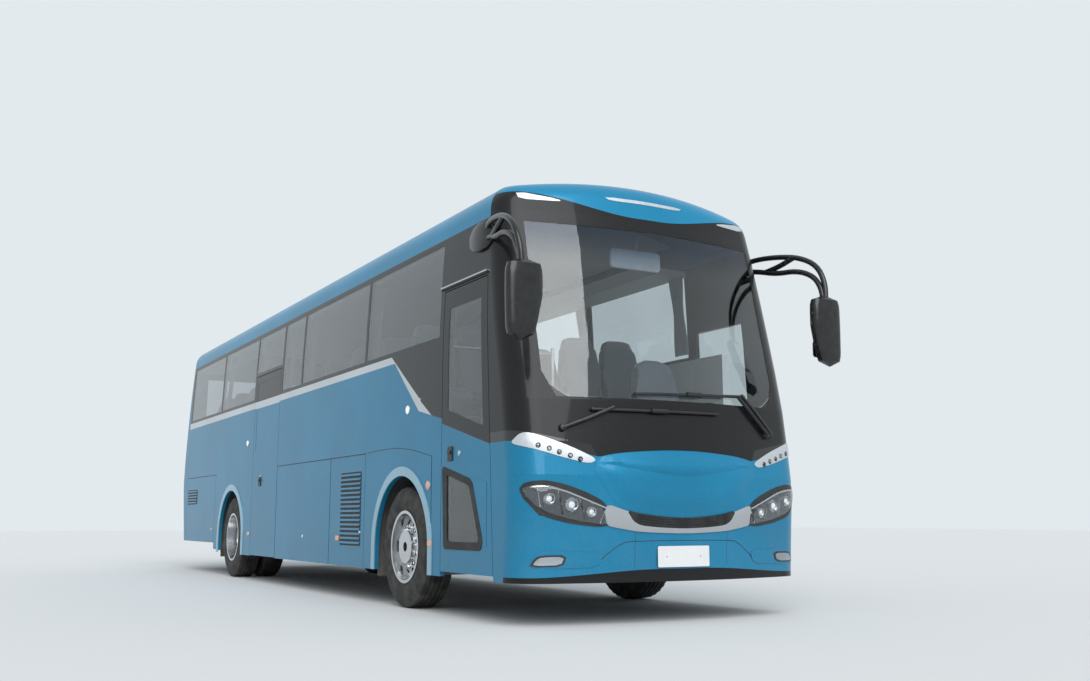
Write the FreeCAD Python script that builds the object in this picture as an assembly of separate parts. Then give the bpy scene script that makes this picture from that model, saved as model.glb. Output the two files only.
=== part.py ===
"""A touring coach with two axles, a raised cabin floor, luggage bays below it and two outswing doors.

The origin is on the ground, below the middle of the overall box: +X is forward, +Y is the coach's left, +Z is up.
Every length is in millimetres. The skin is one body form, offset inwards for each thickness and cut into its panels.
"""

import FreeCAD
import Part

import math
import os

Vector = FreeCAD.Vector
Z_AXIS = Vector(0, 0, 1)
Y_AXIS = Vector(0, 1, 0)
X_AXIS = Vector(1, 0, 0)
SIDES = {"left": 1, "right": -1}

# Overall sizes
BODY_LENGTH = 11490.0
BODY_WIDTH = 2550.0
ROOF_HEIGHT = 3400.0
SKIRT_HEIGHT = 300.0
MIRROR_REACH = 210.0
WHEELBASE = 5921.0
FRONT_OVERHANG = 2357.0
OVERRUN = 300.0

HALF_WIDTH = BODY_WIDTH / 2
REAR_X = -(BODY_LENGTH + MIRROR_REACH) / 2
NOSE_X = REAR_X + BODY_LENGTH
FRONT_AXLE_X = NOSE_X - FRONT_OVERHANG
REAR_AXLE_X = FRONT_AXLE_X - WHEELBASE

# Body form: each row is a height as a share of the roof height, then shares of the three amounts that follow
NOSE_RAKE = 560.0
REAR_LEAN = 330.0
SIDE_LEAN = 85.0
FRONT_CORNER_RADIUS = 250.0
REAR_CORNER_RADIUS = 230.0
NOSE_RADIUS = 4200.0
ROOF_RADIUS = 6000.0
ROOF_EDGE_RADIUS = 220.0
BODY_SECTION_SHARES = (
    (0.000, 0.080, 0.88, 0.00),
    (0.100, 0.077, 0.69, 0.00),
    (0.180, 0.045, 0.45, 0.00),
    (0.250, 0.014, 0.26, 0.00),
    (0.310, 0.012, 0.12, 0.00),
    (0.380, 0.064, 0.00, 0.00),
    (0.470, 0.143, 0.10, 0.00),
    (0.560, 0.264, 0.27, 0.00),
    (0.650, 0.398, 0.47, 0.03),
    (0.750, 0.539, 0.59, 0.18),
    (0.850, 0.679, 0.69, 0.40),
    (1.059, 1.000, 0.91, 1.00),
)

# Skin
WALL = 40.0
TRIM_HEIGHT = 8.0
GLASS_RECESS = 2.0
GLASS_THICKNESS = 8.0
MOVING_GAP = 8.0
HINGE_LEAF = 3.0
PIVOT_CLEARANCE = 0.7

# Heights of the seams
FLAP_TOP = 1347.0
STRIPE_BOTTOM = 2090.0
STRIPE_TOP = 2175.0
ROOF_SEAM_HEIGHT = 3035.0
WINDOW_BOTTOM = 2215.0
WINDOW_TOP = 2985.0
CAP_HEIGHT = 3075.0
REAR_BUMPER_TOP = 700.0
REAR_SKIRT_RISE = 120.0

# Seams along the length
REAR_SEAM_X = REAR_X + 480.0
FLAP_REAR_END_X = REAR_SEAM_X + 20.0
FLAP_REAR_START_X = -3530.0
MID_DOOR_REAR_X = -1610.0
MID_DOOR_FRONT_X = -530.0
BAY_SPLIT_X = 1390.0
BAY_FRONT_X = 2390.0
DOOR_REAR_X = 4120.0
NOSE_SEAM_BOTTOM_X = 5060.0
NOSE_SEAM_TOP_X = 4880.0
STRIPE_BEND_X = 3070.0
STRIPE_END_HEIGHT = 1540.0
STRIPE_END_WIDTH = 80.0
STRIPE_SLOPE_X = 3640.0
STRIPE_SLOPE_HEIGHT = 1640.0
BAND_NOSE_HEIGHT = 1316.0

# Doors
DOOR_SILL = 330.0
DOOR_TOP = 2575.0
MID_DOOR_SILL = 300.0
MID_DOOR_TOP = 2495.0
DOOR_ARM_LENGTH = 540.0
DOOR_POST_INSET = 190.0
DOOR_POST_DEPTH = 135.0
DOOR_PIN_DEPTH = 45.0
DOOR_POST_RADIUS = 16.0
DOOR_PIN_RADIUS = 10.0
DOOR_ARM_HEIGHT = 30.0
DOOR_ARM_WIDTH = 26.0
DOOR_EYE_RADIUS = 22.0
DOOR_ARM_HEIGHTS = (1190.0, 1330.0)

# Wheels
TYRE_RADIUS = 510.0
TYRE_WIDTH = 276.0
RIM_RADIUS = 292.0
RIM_FLANGE = 14.0
RIM_WALL = 12.0
RIM_WIDTH = 236.0
TWIN_SPACING = 318.0
TYRE_INSET = 30.0
ARCH_RADIUS = 600.0
ARCH_LIP = 80.0
WHEELHOUSE_GAP = 40.0
LINER = 15.0
HAND_HOLES = 10
HAND_HOLE_RADIUS = 30.0
HAND_HOLE_CIRCLE = 212.0
HUB_RADIUS = 140.0
SPINDLE_RADIUS = 40.0
REAR_SPINDLE_RADIUS = 55.0

# Axles and chassis
KINGPIN_Y = 900.0
KINGPIN_RADIUS = 25.0
KINGPIN_BOSS_RADIUS = 45.0
KINGPIN_BOSS_HEIGHT = 160.0
KNUCKLE_EAR = 50.0
BEAM_DEPTH = 100.0
BEAM_DROP = 90.0
RAIL_Y = 430.0
RAIL_WIDTH = 80.0
RAIL_HEIGHT = 160.0
BELLOWS_RADIUS = 120.0
BELLOWS_HEIGHT = 330.0
BANJO_RADIUS = 190.0
AXLE_TUBE_RADIUS = 75.0

# Cabin
FLOOR_TOP = 1350.0
FLOOR_THICKNESS = 60.0
PLATFORM_TOP = 1000.0
PLATFORM_FRONT_X = 5230.0
STEP_COUNT = 4
STEP_GOING = 250.0
STEP_SHELL = 30.0
BAY_FLOOR_TOP = 360.0
BAY_FLOOR_THICKNESS = 40.0
SEAT_PITCH = 800.0
SEAT_WIDTH = 900.0
SEAT_HEIGHT = 430.0
SEAT_BACK_HEIGHT = 1120.0
SEAT_DEPTH = 440.0


def bounds_box(x0, x1, y0, y1, z0, z1):
    """A box between two corners, given as pairs of limits."""
    low = Vector(min(x0, x1), min(y0, y1), min(z0, z1))
    return Part.makeBox(abs(x1 - x0), abs(y1 - y0), abs(z1 - z0), low)


def cylinder(radius, start, end):
    """A round bar from one point to another."""
    return Part.makeCylinder(radius, (end - start).Length, start, end - start)


def prism(points, direction):
    """A closed outline of points, extruded along a vector."""
    return Part.Face(Part.makePolygon(list(points) + [points[0]])).extrude(direction)


def side_prism(points, side):
    """An outline of (x, z) points, extruded sideways past the skin on one side."""
    inner = HALF_WIDTH / 2 * side
    reach = (HALF_WIDTH / 2 + OVERRUN) * side
    return prism([Vector(x, inner, z) for x, z in points], Vector(0, reach, 0))


def front_prism(points):
    """An outline of (y, z) points, extruded through the nose."""
    start = NOSE_SEAM_TOP_X - OVERRUN
    return prism([Vector(start, y, z) for y, z in points], Vector(NOSE_X + OVERRUN - start, 0, 0))


def mirrored(shape):
    """The shape on the coach's other side."""
    return shape.mirror(Vector(0, 0, 0), Y_AXIS)


def revolved(points, centre, side=1):
    """A profile of (radius, distance outwards) points, turned about a sideways axis through the centre."""
    outline = [Vector(centre.x + radius, centre.y + side * out, centre.z) for radius, out in points]
    face = Part.Face(Part.makePolygon(outline + [outline[0]]))
    return face.revolve(centre, Y_AXIS, math.degrees(2 * math.pi))


def fused(shapes):
    """The union of shapes, without the seams between flush faces."""
    first, rest = shapes[0], shapes[1:]
    return first.fuse(rest).removeSplitter() if rest else first


def save(name, shapes):
    """Writes one node, of one or more solids that don't touch."""
    solids = [solid for shape in shapes for solid in shape.Solids]
    shape = solids[0] if len(solids) == 1 else Part.makeCompound(solids)
    if not shape.isValid():
        print("invalid", name)
    shape.exportStep("parts/" + name + ".step")
    print(name, len(solids), round(shape.Volume / 1e6, 2))


def plan_wire(height, nose, rear, half_width, corner, rear_corner):
    """The body's outline seen from above at one height: a bowed nose, rounded corners and straight sides."""
    radius = NOSE_RADIUS
    bow_x = nose - radius
    corner_y = half_width - corner
    corner_x = bow_x + math.sqrt((radius - corner) ** 2 - corner_y ** 2)
    turn = math.atan2(corner_y, corner_x - bow_x)

    def arc(x, y, arc_radius, start, end):
        points = [Vector(x + arc_radius * math.cos(a), y + arc_radius * math.sin(a), height)
                  for a in (start, (start + end) / 2, end)]
        return Part.Arc(*points).toShape()

    def line(x0, y0, x1, y1):
        return Part.LineSegment(Vector(x0, y0, height), Vector(x1, y1, height)).toShape()

    right_angle = math.pi / 2
    rear_x = rear + rear_corner
    rear_y = half_width - rear_corner
    return Part.Wire([
        arc(bow_x, 0, radius, -turn, turn),
        arc(corner_x, corner_y, corner, turn, right_angle),
        line(corner_x, half_width, rear_x, half_width),
        arc(rear_x, rear_y, rear_corner, right_angle, 2 * right_angle),
        line(rear, rear_y, rear, -rear_y),
        arc(rear_x, -rear_y, rear_corner, -2 * right_angle, -right_angle),
        line(rear_x, -half_width, corner_x, -half_width),
        arc(corner_x, -corner_y, corner, -right_angle, -turn),
    ])


def open_form(inset):
    """The body's outer surface below the roof as a solid, moved inwards by the inset."""
    wires = []
    for height_share, rake_share, rear_share, lean_share in BODY_SECTION_SHARES:
        wires.append(plan_wire(
            height_share * ROOF_HEIGHT,
            NOSE_X - rake_share * NOSE_RAKE - inset,
            REAR_X + rear_share * REAR_LEAN + inset,
            HALF_WIDTH - lean_share * SIDE_LEAN - inset,
            FRONT_CORNER_RADIUS - inset,
            REAR_CORNER_RADIUS - inset,
        ))
    return Part.makeLoft(wires, True, True)


def crown(inset):
    """The bowed roof as the top of a round bar along the coach, moved inwards by the inset."""
    centre = Vector(REAR_X - OVERRUN, 0, ROOF_HEIGHT - ROOF_RADIUS)
    bar = Part.makeCylinder(ROOF_RADIUS - inset, BODY_LENGTH + 2 * OVERRUN, centre, X_AXIS)
    bar.rotate(centre, X_AXIS, 180)
    return bar


def roof_edges(form, inset):
    """The edges where the roof's crown meets the walls."""
    crown_edge = ROOF_HEIGHT - HALF_WIDTH ** 2 / ROOF_RADIUS - inset
    return [edge for edge in form.Edges if edge.BoundBox.ZMin > crown_edge and edge.BoundBox.DiagonalLength > WALL]


def middle_block():
    """The straight stretch of the body, between the rounded ends."""
    return bounds_box(REAR_SEAM_X, NOSE_SEAM_BOTTOM_X, -BODY_WIDTH, BODY_WIDTH, 0, ROOF_HEIGHT + OVERRUN)


FORMS = {}


def end_form(inset):
    """The body form near its rounded ends: round roof edges outside, bevelled ones on inner faces."""
    if ("end", inset) not in FORMS:
        form = open_form(inset).common(crown(inset))
        edges = roof_edges(form, inset)
        if inset < WALL / 2:
            form = form.makeFillet(ROOF_EDGE_RADIUS - inset, edges)
        else:
            form = form.makeChamfer((ROOF_EDGE_RADIUS - inset) * BEVEL_SHARE, edges)
        FORMS["end", inset] = form.Solids[0]
    return FORMS["end", inset]


def straight_form(inset):
    """The body form of the straight stretch, as its cross-section drawn along the coach."""
    if ("straight", inset) not in FORMS:
        side = [(HALF_WIDTH - lean_share * SIDE_LEAN - inset, height_share * ROOF_HEIGHT)
                for height_share, _, _, lean_share in BODY_SECTION_SHARES]
        points = symmetric(side[::-1])
        block = prism([Vector(REAR_SEAM_X - WALL, y, z) for y, z in points],
                      Vector(NOSE_SEAM_BOTTOM_X - REAR_SEAM_X + 2 * WALL, 0, 0))
        block = block.common(crown(inset))
        block = block.removeSplitter()
        edges = [edge for edge in roof_edges(block, inset) if edge.BoundBox.YLength < WALL]
        if inset < WALL / 2:
            block = block.makeFillet(ROOF_EDGE_RADIUS - inset, edges)
        else:
            block = block.makeChamfer((ROOF_EDGE_RADIUS - inset) * BEVEL_SHARE, edges)
        FORMS["straight", inset] = block.Solids[0]
    return FORMS["straight", inset]


BEVEL_SHARE = 0.78
SKINS = {}


def skin(zone, outer=0.0, thickness=WALL):
    """One zone's skin between two insets, open below: the nose, the straight stretch or the rear."""
    key = (zone, outer, thickness)
    if key not in SKINS:
        if zone == "middle":
            shape = straight_form(outer).cut(straight_form(outer + thickness))
            shape = shape.common(middle_block()).cut(nose_block())
        else:
            block = nose_block() if zone == "nose" else rear_block()
            shape = end_form(outer).common(block).cut(end_form(outer + thickness))
        SKINS[key] = shape
    return SKINS[key]


def rear_block():
    """Everything behind the rear seam."""
    return bounds_box(REAR_X - OVERRUN, REAR_SEAM_X, -BODY_WIDTH, BODY_WIDTH, 0, ROOF_HEIGHT + OVERRUN)


def cut_all(shape, tools):
    """The shape less each tool."""
    return shape.cut(tools) if tools else shape


def side_region(points, side, source):
    """The part of a skin inside an outline of (x, z) points on one side."""
    return source.common(side_prism(points, side))


def rectangle(x0, x1, z0, z1, gap=0.0):
    """The corners of an upright rectangle, drawn in on all sides by a gap."""
    return [(x0 + gap, z0 + gap), (x1 - gap, z0 + gap), (x1 - gap, z1 - gap), (x0 + gap, z1 - gap)]


def nose_seam_x(height):
    """Where the nose meets the side at a height: a line that leans back."""
    share = (height - DOOR_SILL) / (ROOF_SEAM_HEIGHT - DOOR_SILL)
    return NOSE_SEAM_BOTTOM_X + share * (NOSE_SEAM_TOP_X - NOSE_SEAM_BOTTOM_X)


def nose_block(x_shift=0.0):
    """Everything ahead of the nose seam."""
    low, high = 0.0, ROOF_HEIGHT + OVERRUN
    points = [(nose_seam_x(low) + x_shift, low), (NOSE_X + OVERRUN, low),
              (NOSE_X + OVERRUN, high), (nose_seam_x(high) + x_shift, high)]
    return prism([Vector(x, -BODY_WIDTH, z) for x, z in points], Vector(0, 2 * BODY_WIDTH, 0))


def arch_cutter(axle_x, side, radius, inner_y, outer_y):
    """A wheel arch: a half round over straight sides."""
    centre = Vector(axle_x, side * inner_y, TYRE_RADIUS)
    half_round = cylinder(radius, centre, Vector(axle_x, side * outer_y, TYRE_RADIUS))
    legs = bounds_box(axle_x - radius, axle_x + radius, side * inner_y, side * outer_y, 0, TYRE_RADIUS)
    return half_round.fuse(legs)


STRIPE_LOWER = [
    (REAR_SEAM_X, STRIPE_BOTTOM), (STRIPE_BEND_X, STRIPE_BOTTOM + WALL / 2),
    (STRIPE_SLOPE_X, STRIPE_SLOPE_HEIGHT), (DOOR_REAR_X, STRIPE_END_HEIGHT),
    (nose_seam_x(BAND_NOSE_HEIGHT), BAND_NOSE_HEIGHT),
]
STRIPE_UPPER = [
    (REAR_SEAM_X, STRIPE_TOP), (STRIPE_BEND_X - STRIPE_END_WIDTH, STRIPE_TOP),
    (STRIPE_SLOPE_X, STRIPE_SLOPE_HEIGHT + 1.4 * STRIPE_END_WIDTH),
    (DOOR_REAR_X, STRIPE_END_HEIGHT + 1.2 * STRIPE_END_WIDTH),
    (nose_seam_x(BAND_NOSE_HEIGHT), BAND_NOSE_HEIGHT + 1.1 * STRIPE_END_WIDTH),
]
WINDOW_POSTS = (-5296.0, -3380.0, MID_DOOR_REAR_X - WALL, MID_DOOR_FRONT_X + WALL, 290.0, 2320.0, 4070.0)
WINDOW_POST_WIDTH = 50.0


def door_outline(gap=0.0):
    """The front door's outline, its front edge in line with the nose seam."""
    low, high = DOOR_SILL + gap, DOOR_TOP - gap
    return [(DOOR_REAR_X + gap, low), (nose_seam_x(low) - gap, low),
            (nose_seam_x(high) - gap, high), (DOOR_REAR_X + gap, high)]


def mid_door_outline(gap=0.0):
    """The middle door's outline."""
    return rectangle(MID_DOOR_REAR_X, MID_DOOR_FRONT_X, MID_DOOR_SILL, MID_DOOR_TOP, gap)


def flap_spans():
    """The luggage flaps on each side, by name: their ends along the coach and their lower edge."""
    rear_sill = SKIRT_HEIGHT + REAR_SKIRT_RISE
    return {
        "front": (BAY_SPLIT_X, BAY_FRONT_X, SKIRT_HEIGHT),
        "mid": (MID_DOOR_FRONT_X, BAY_SPLIT_X, SKIRT_HEIGHT),
        "rear": (FLAP_REAR_END_X, FLAP_REAR_START_X, rear_sill),
    }


def window_outlines(side):
    """The fixed side windows of one side, from the rear."""
    outlines = []
    for rear, front in zip(WINDOW_POSTS, WINDOW_POSTS[1:]):
        low = WINDOW_BOTTOM
        if side < 0 and abs(rear - WINDOW_POSTS[2]) < WALL:
            low = MID_DOOR_TOP + WALL
        outlines.append(rectangle(rear + WINDOW_POST_WIDTH / 2, front - WINDOW_POST_WIDTH / 2, low, WINDOW_TOP))
    if side > 0:
        outlines.append([(DOOR_REAR_X + WINDOW_POST_WIDTH, CAB_WINDOW_BOTTOM),
                         (nose_seam_x(CAB_WINDOW_BOTTOM) - 2 * WINDOW_POST_WIDTH, CAB_WINDOW_BOTTOM),
                         (nose_seam_x(DOOR_GLASS_TOP) - 2 * WINDOW_POST_WIDTH, DOOR_GLASS_TOP),
                         (DOOR_REAR_X + WINDOW_POST_WIDTH, DOOR_GLASS_TOP)])
    return outlines


CAB_WINDOW_BOTTOM = 1660.0
DOOR_GLASS_TOP = 2420.0
DOOR_GLASS_MARGIN = 115.0
DOOR_UPPER_GLASS_REAR = 1600.0
DOOR_UPPER_GLASS_FRONT = 1430.0
DOOR_LOWER_GLASS_BOTTOM = 560.0
DOOR_LOWER_GLASS_REAR_TOP = 1120.0
DOOR_LOWER_GLASS_FRONT_TOP = 1000.0
MID_GLASS_BOTTOM = 1560.0
MID_GLASS_MARGIN = 90.0


def side_panels():
    """The blue panels below the stripe, the stripe itself and the dark window band above it."""
    shell = skin("middle")
    low = 0.0
    blue, stripes, bands = [], [], []
    for side in SIDES.values():
        openings = [arch_cutter(x, side, ARCH_RADIUS, KINGPIN_Y, HALF_WIDTH + OVERRUN)
                    for x in (FRONT_AXLE_X, REAR_AXLE_X)]
        for rear, front, sill in flap_spans().values():
            openings.append(side_prism(rectangle(rear, front, low, FLAP_TOP), side))
        if side < 0:
            openings.append(side_prism(door_outline(), side))
            openings.append(side_prism(mid_door_outline(), side))
            openings.append(side_prism(rectangle(DOOR_REAR_X, NOSE_SEAM_BOTTOM_X, low, DOOR_SILL + WALL), side))
            openings.append(side_prism(rectangle(MID_DOOR_REAR_X, MID_DOOR_FRONT_X, low, MID_DOOR_SILL + WALL), side))
        skirt = [(REAR_SEAM_X, SKIRT_HEIGHT + REAR_SKIRT_RISE), (REAR_AXLE_X, SKIRT_HEIGHT),
                 (nose_seam_x(SKIRT_HEIGHT), SKIRT_HEIGHT)]
        lower = side_region(skirt + STRIPE_LOWER[::-1], side, shell)
        stripe = side_region(STRIPE_LOWER + STRIPE_UPPER[::-1], side, shell)
        roof_line = [(nose_seam_x(ROOF_SEAM_HEIGHT), ROOF_SEAM_HEIGHT), (REAR_SEAM_X, ROOF_SEAM_HEIGHT)]
        band = side_region(STRIPE_UPPER + roof_line, side, shell)
        windows = [side_prism(outline, side) for outline in window_outlines(side)]
        blue.append(cut_all(lower, openings))
        stripes.append(cut_all(stripe, openings))
        bands.append(cut_all(band, openings + windows))
    save("side_panels", blue)
    save("belt_stripes", stripes)
    save("window_frames", bands)


def side_windows():
    """The side and rear glass, flush with the window band."""
    glass = skin("middle", GLASS_RECESS, GLASS_THICKNESS)
    panes = [side_region(outline, side, glass) for side in SIDES.values() for outline in window_outlines(side)]
    panes.append(skin("rear", GLASS_RECESS, GLASS_THICKNESS).common(rear_window_prism()))
    save("body_windows", panes)


REAR_WINDOW_HALF = 980.0
REAR_WINDOW_BOTTOM = 2190.0
REAR_WINDOW_TOP = 2900.0
ENGINE_DOOR_HALF = 880.0
ENGINE_DOOR_BOTTOM = 720.0
ENGINE_DOOR_TOP = 1400.0


def rear_prism(y0, y1, z0, z1):
    """A block through the rear wall."""
    return bounds_box(REAR_X - OVERRUN, REAR_SEAM_X, y0, y1, z0, z1)


def rear_window_prism():
    """The rear window's block."""
    return rear_prism(-REAR_WINDOW_HALF, REAR_WINDOW_HALF, REAR_WINDOW_BOTTOM, REAR_WINDOW_TOP)


def rear_end():
    """The rear wall with its window and engine door opening, the bumper and the engine door."""
    shell = skin("rear").common(rear_prism(-BODY_WIDTH, BODY_WIDTH, SKIRT_HEIGHT + REAR_SKIRT_RISE,
                                           ROOF_HEIGHT + OVERRUN))
    bumper_zone = rear_prism(-BODY_WIDTH, BODY_WIDTH, 0, REAR_BUMPER_TOP)
    door_zone = rear_prism(-ENGINE_DOOR_HALF, ENGINE_DOOR_HALF, ENGINE_DOOR_BOTTOM, ENGINE_DOOR_TOP)
    lamps = [tail_lamp_prism(side) for side in SIDES.values()]
    save("rear_wall", [cut_all(shell, [bumper_zone, door_zone, rear_window_prism()] + lamps)])
    save("rear_bumper", [shell.common(bumper_zone)])
    gap = MOVING_GAP
    leaf = rear_prism(-ENGINE_DOOR_HALF + gap, ENGINE_DOOR_HALF - gap, ENGINE_DOOR_BOTTOM + gap, ENGINE_DOOR_TOP - gap)
    save("engine_door", [shell.common(leaf)])
    save("tail_lamps", [shell.common(prism_block) for prism_block in lamps])


TAIL_LAMP_INNER = 930.0
TAIL_LAMP_OUTER = 1130.0
TAIL_LAMP_BOTTOM = 760.0
TAIL_LAMP_TOP = 1340.0


def tail_lamp_prism(side):
    """The tail lamp cluster's block on one side."""
    return rear_prism(side * TAIL_LAMP_INNER, side * TAIL_LAMP_OUTER, TAIL_LAMP_BOTTOM, TAIL_LAMP_TOP)


def roof():
    """The roof panel, from the nose seam to the rear wall."""
    above = bounds_box(REAR_SEAM_X, NOSE_X, -BODY_WIDTH, BODY_WIDTH, ROOF_SEAM_HEIGHT, ROOF_HEIGHT + OVERRUN)
    save("roof_panel", [skin("middle").common(above)])


AC_REAR_X = -630.0
AC_FRONT_X = 2220.0
AC_HALF_WIDTH = 950.0
AC_TOP = 3470.0
AC_SLOPE = 120.0
AC_NOSE = 420.0
HATCH_HALF_WIDTH = 400.0
HATCH_LENGTH = 800.0
HATCH_TOP = 3440.0
HATCH_PLACES = (2900.0, -3900.0)


def roof_units():
    """The low air conditioning pod and the two roof hatches, seated on the crown."""
    base = ROOF_HEIGHT - OVERRUN
    side_view = [(AC_REAR_X, base), (AC_FRONT_X + AC_NOSE, base), (AC_FRONT_X + AC_NOSE, ROOF_HEIGHT),
                 (AC_FRONT_X, AC_TOP), (AC_REAR_X + AC_SLOPE, AC_TOP), (AC_REAR_X, ROOF_HEIGHT)]
    pod = prism([Vector(x, -AC_HALF_WIDTH, z) for x, z in side_view], Vector(0, 2 * AC_HALF_WIDTH, 0))
    end_view = [(-AC_HALF_WIDTH, base), (AC_HALF_WIDTH, base), (AC_HALF_WIDTH, ROOF_HEIGHT - WALL),
                (AC_HALF_WIDTH - AC_SLOPE, AC_TOP), (-AC_HALF_WIDTH + AC_SLOPE, AC_TOP),
                (-AC_HALF_WIDTH, ROOF_HEIGHT - WALL)]
    ends = prism([Vector(AC_REAR_X, y, z) for y, z in end_view], Vector(AC_FRONT_X + AC_NOSE - AC_REAR_X, 0, 0))
    save("ac_unit", [pod.common(ends).cut(straight_form(0.0))])
    hatches = [bounds_box(x, x + HATCH_LENGTH, -HATCH_HALF_WIDTH, HATCH_HALF_WIDTH, base, HATCH_TOP)
               .cut(straight_form(0.0)) for x in HATCH_PLACES]
    save("roof_hatches", hatches)


# Front view: half outlines in (y, z)
WINDSCREEN_BOTTOM = 1615.0
WINDSCREEN_TOP = 2975.0
WINDSCREEN_BOTTOM_HALF = 1010.0
WINDSCREEN_TOP_HALF = 1060.0
WINDSCREEN_CORNER_HEIGHT = 1800.0
HOOD_TOP = 1243.0
HOOD_CORNER_Y = 700.0
HOOD_CORNER_HEIGHT = 1185.0
MARKER_OUTER_Y = 1250.0
MARKER_OUTER_HEIGHT = 1290.0
MARKER_DEPTH = 75.0
GRILLE_TOP = 800.0
GRILLE_BOTTOM = 690.0
GRILLE_HALF = 490.0
STRIP_HEIGHT = 660.0
HEADLAMP_INNER_Y = 600.0
HEADLAMP_INNER_BOTTOM = 700.0
HEADLAMP_INNER_TOP = 830.0
HEADLAMP_TOP_Y = 1130.0
HEADLAMP_OUTER_Y = 1222.0
HEADLAMP_TOP = 1010.0
HEADLAMP_BOTTOM = 770.0
LAMP_DEPTH = 110.0
FOG_LOW = 420.0
FOG_HIGH = 510.0
FOG_INNER_Y = 850.0
FOG_OUTER_Y = 1130.0
BUMPER_REAR_X = 5215.0
GRILLE_BAR = 14.0
GRILLE_BARS = 4


def symmetric(points):
    """A half outline of (y, z) points from the top centre outwards and back to the centre, closed by symmetry."""
    return list(points) + [(-y, z) for y, z in reversed(points) if y]


def windscreen_outline():
    """The windscreen, with its lower corners cut up towards the pillars."""
    return symmetric([(0, WINDSCREEN_TOP), (WINDSCREEN_TOP_HALF, WINDSCREEN_TOP),
                      (WINDSCREEN_TOP_HALF, WINDSCREEN_CORNER_HEIGHT),
                      (WINDSCREEN_BOTTOM_HALF - WALL, WINDSCREEN_BOTTOM), (0, WINDSCREEN_BOTTOM)])


def headlamp_outline(side):
    """The headlamp: pointed towards the grille, tall at the corner."""
    return [(side * y, z) for y, z in (
        (HEADLAMP_INNER_Y, HEADLAMP_INNER_BOTTOM), (HEADLAMP_INNER_Y + WALL, HEADLAMP_INNER_TOP),
        (HEADLAMP_TOP_Y, HEADLAMP_TOP), (HEADLAMP_OUTER_Y, HEADLAMP_TOP - WALL / 2),
        (HEADLAMP_OUTER_Y, HEADLAMP_BOTTOM + 3 * WALL), (HEADLAMP_TOP_Y, HEADLAMP_BOTTOM))]


def mask_foot(y):
    """The height of the mask's lower edge, where it meets the hood and the marker lamps."""
    if y < HOOD_CORNER_Y:
        return HOOD_TOP + (HOOD_CORNER_HEIGHT - HOOD_TOP) * y / HOOD_CORNER_Y
    share = (y - HOOD_CORNER_Y) / (MARKER_OUTER_Y - HOOD_CORNER_Y)
    return HOOD_CORNER_HEIGHT + share * (MARKER_OUTER_HEIGHT - HOOD_CORNER_HEIGHT)


def marker_outline(side):
    """The slim marker lamp cluster along the foot of the mask, back to the nose seam."""
    wide = HALF_WIDTH + OVERRUN
    return [(side * y, z) for y, z in (
        (HOOD_CORNER_Y, mask_foot(HOOD_CORNER_Y)), (wide, mask_foot(wide)),
        (wide, mask_foot(wide) + MARKER_DEPTH), (HOOD_CORNER_Y + WALL, mask_foot(HOOD_CORNER_Y + WALL) + MARKER_DEPTH))]


def fog_outline(side):
    """The fog lamp in the bumper."""
    return [(side * y, z) for y, z in ((FOG_INNER_Y, FOG_LOW), (FOG_OUTER_Y, FOG_LOW + GRILLE_BAR),
                                       (FOG_OUTER_Y, FOG_HIGH), (FOG_INNER_Y + WALL, FOG_HIGH))]


def grille_outline():
    """The opening between the headlamps."""
    return symmetric([(0, GRILLE_TOP), (GRILLE_HALF, GRILLE_TOP), (GRILLE_HALF - WALL, GRILLE_BOTTOM),
                      (0, GRILLE_BOTTOM)])


def front_end():
    """The nose: roof cap, mask, windscreen, lower panel, bumper, grille and lamps."""
    nose = skin("nose")
    wide = HALF_WIDTH + OVERRUN
    cap_zone = bounds_box(0, NOSE_X + OVERRUN, -wide, wide, CAP_HEIGHT, ROOF_HEIGHT + OVERRUN)
    mask_line = [(y, mask_foot(y)) for y in (0, HOOD_CORNER_Y, wide)]
    mask_zone = front_prism(symmetric([(0, CAP_HEIGHT), (wide, CAP_HEIGHT)] + mask_line[::-1]))
    bumper_line = [(0, STRIP_HEIGHT), (HEADLAMP_INNER_Y, HEADLAMP_INNER_BOTTOM), (HEADLAMP_TOP_Y, HEADLAMP_BOTTOM),
                   (wide, HEADLAMP_BOTTOM + WALL)]
    bumper_zone = front_prism(symmetric([(0, STRIP_HEIGHT)] + bumper_line[1:] + [(wide, SKIRT_HEIGHT),
                                                                                (0, SKIRT_HEIGHT)]))
    bumper_zone = bumper_zone.common(bounds_box(BUMPER_REAR_X, NOSE_X + OVERRUN, -wide, wide, 0, ROOF_HEIGHT))
    heads = [front_prism(headlamp_outline(side)) for side in SIDES.values()]
    markers = [front_prism(marker_outline(side)) for side in SIDES.values()]
    fogs = [front_prism(fog_outline(side)) for side in SIDES.values()]
    screen = front_prism(windscreen_outline())
    grille = front_prism(grille_outline())
    lower = nose.cut(cap_zone).cut(mask_zone)
    lower = lower.cut(bounds_box(0, NOSE_X + OVERRUN, -wide, wide, 0, SKIRT_HEIGHT))
    save("front_cap", [nose.common(cap_zone)])
    save("front_mask", [cut_all(nose.common(mask_zone), [screen] + markers)])
    save("windscreen", [skin("nose", GLASS_RECESS, GLASS_THICKNESS).common(screen)])
    save("front_panel", [cut_all(lower, [bumper_zone, grille] + heads + markers)])
    save("front_bumper", [cut_all(lower.common(bumper_zone), heads + fogs + [grille])])
    lamp_skin = end_form(0.0).common(nose_block()).cut(open_form(LAMP_DEPTH))
    lamps = [lamp_skin.common(shape) for shape in heads]
    lamps += [nose.common(shape) for shape in markers + fogs]
    save("front_lamps", lamps)
    bars = []
    pitch = (GRILLE_TOP - GRILLE_BOTTOM) / GRILLE_BARS
    for row in range(GRILLE_BARS):
        low = GRILLE_BOTTOM + (row + 0.5) * pitch - GRILLE_BAR / 2
        bars.append(bounds_box(0, NOSE_X + OVERRUN, -wide, wide, low, low + GRILLE_BAR))
    save("front_grille", [nose.common(grille).common(bar) for bar in bars])


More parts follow.
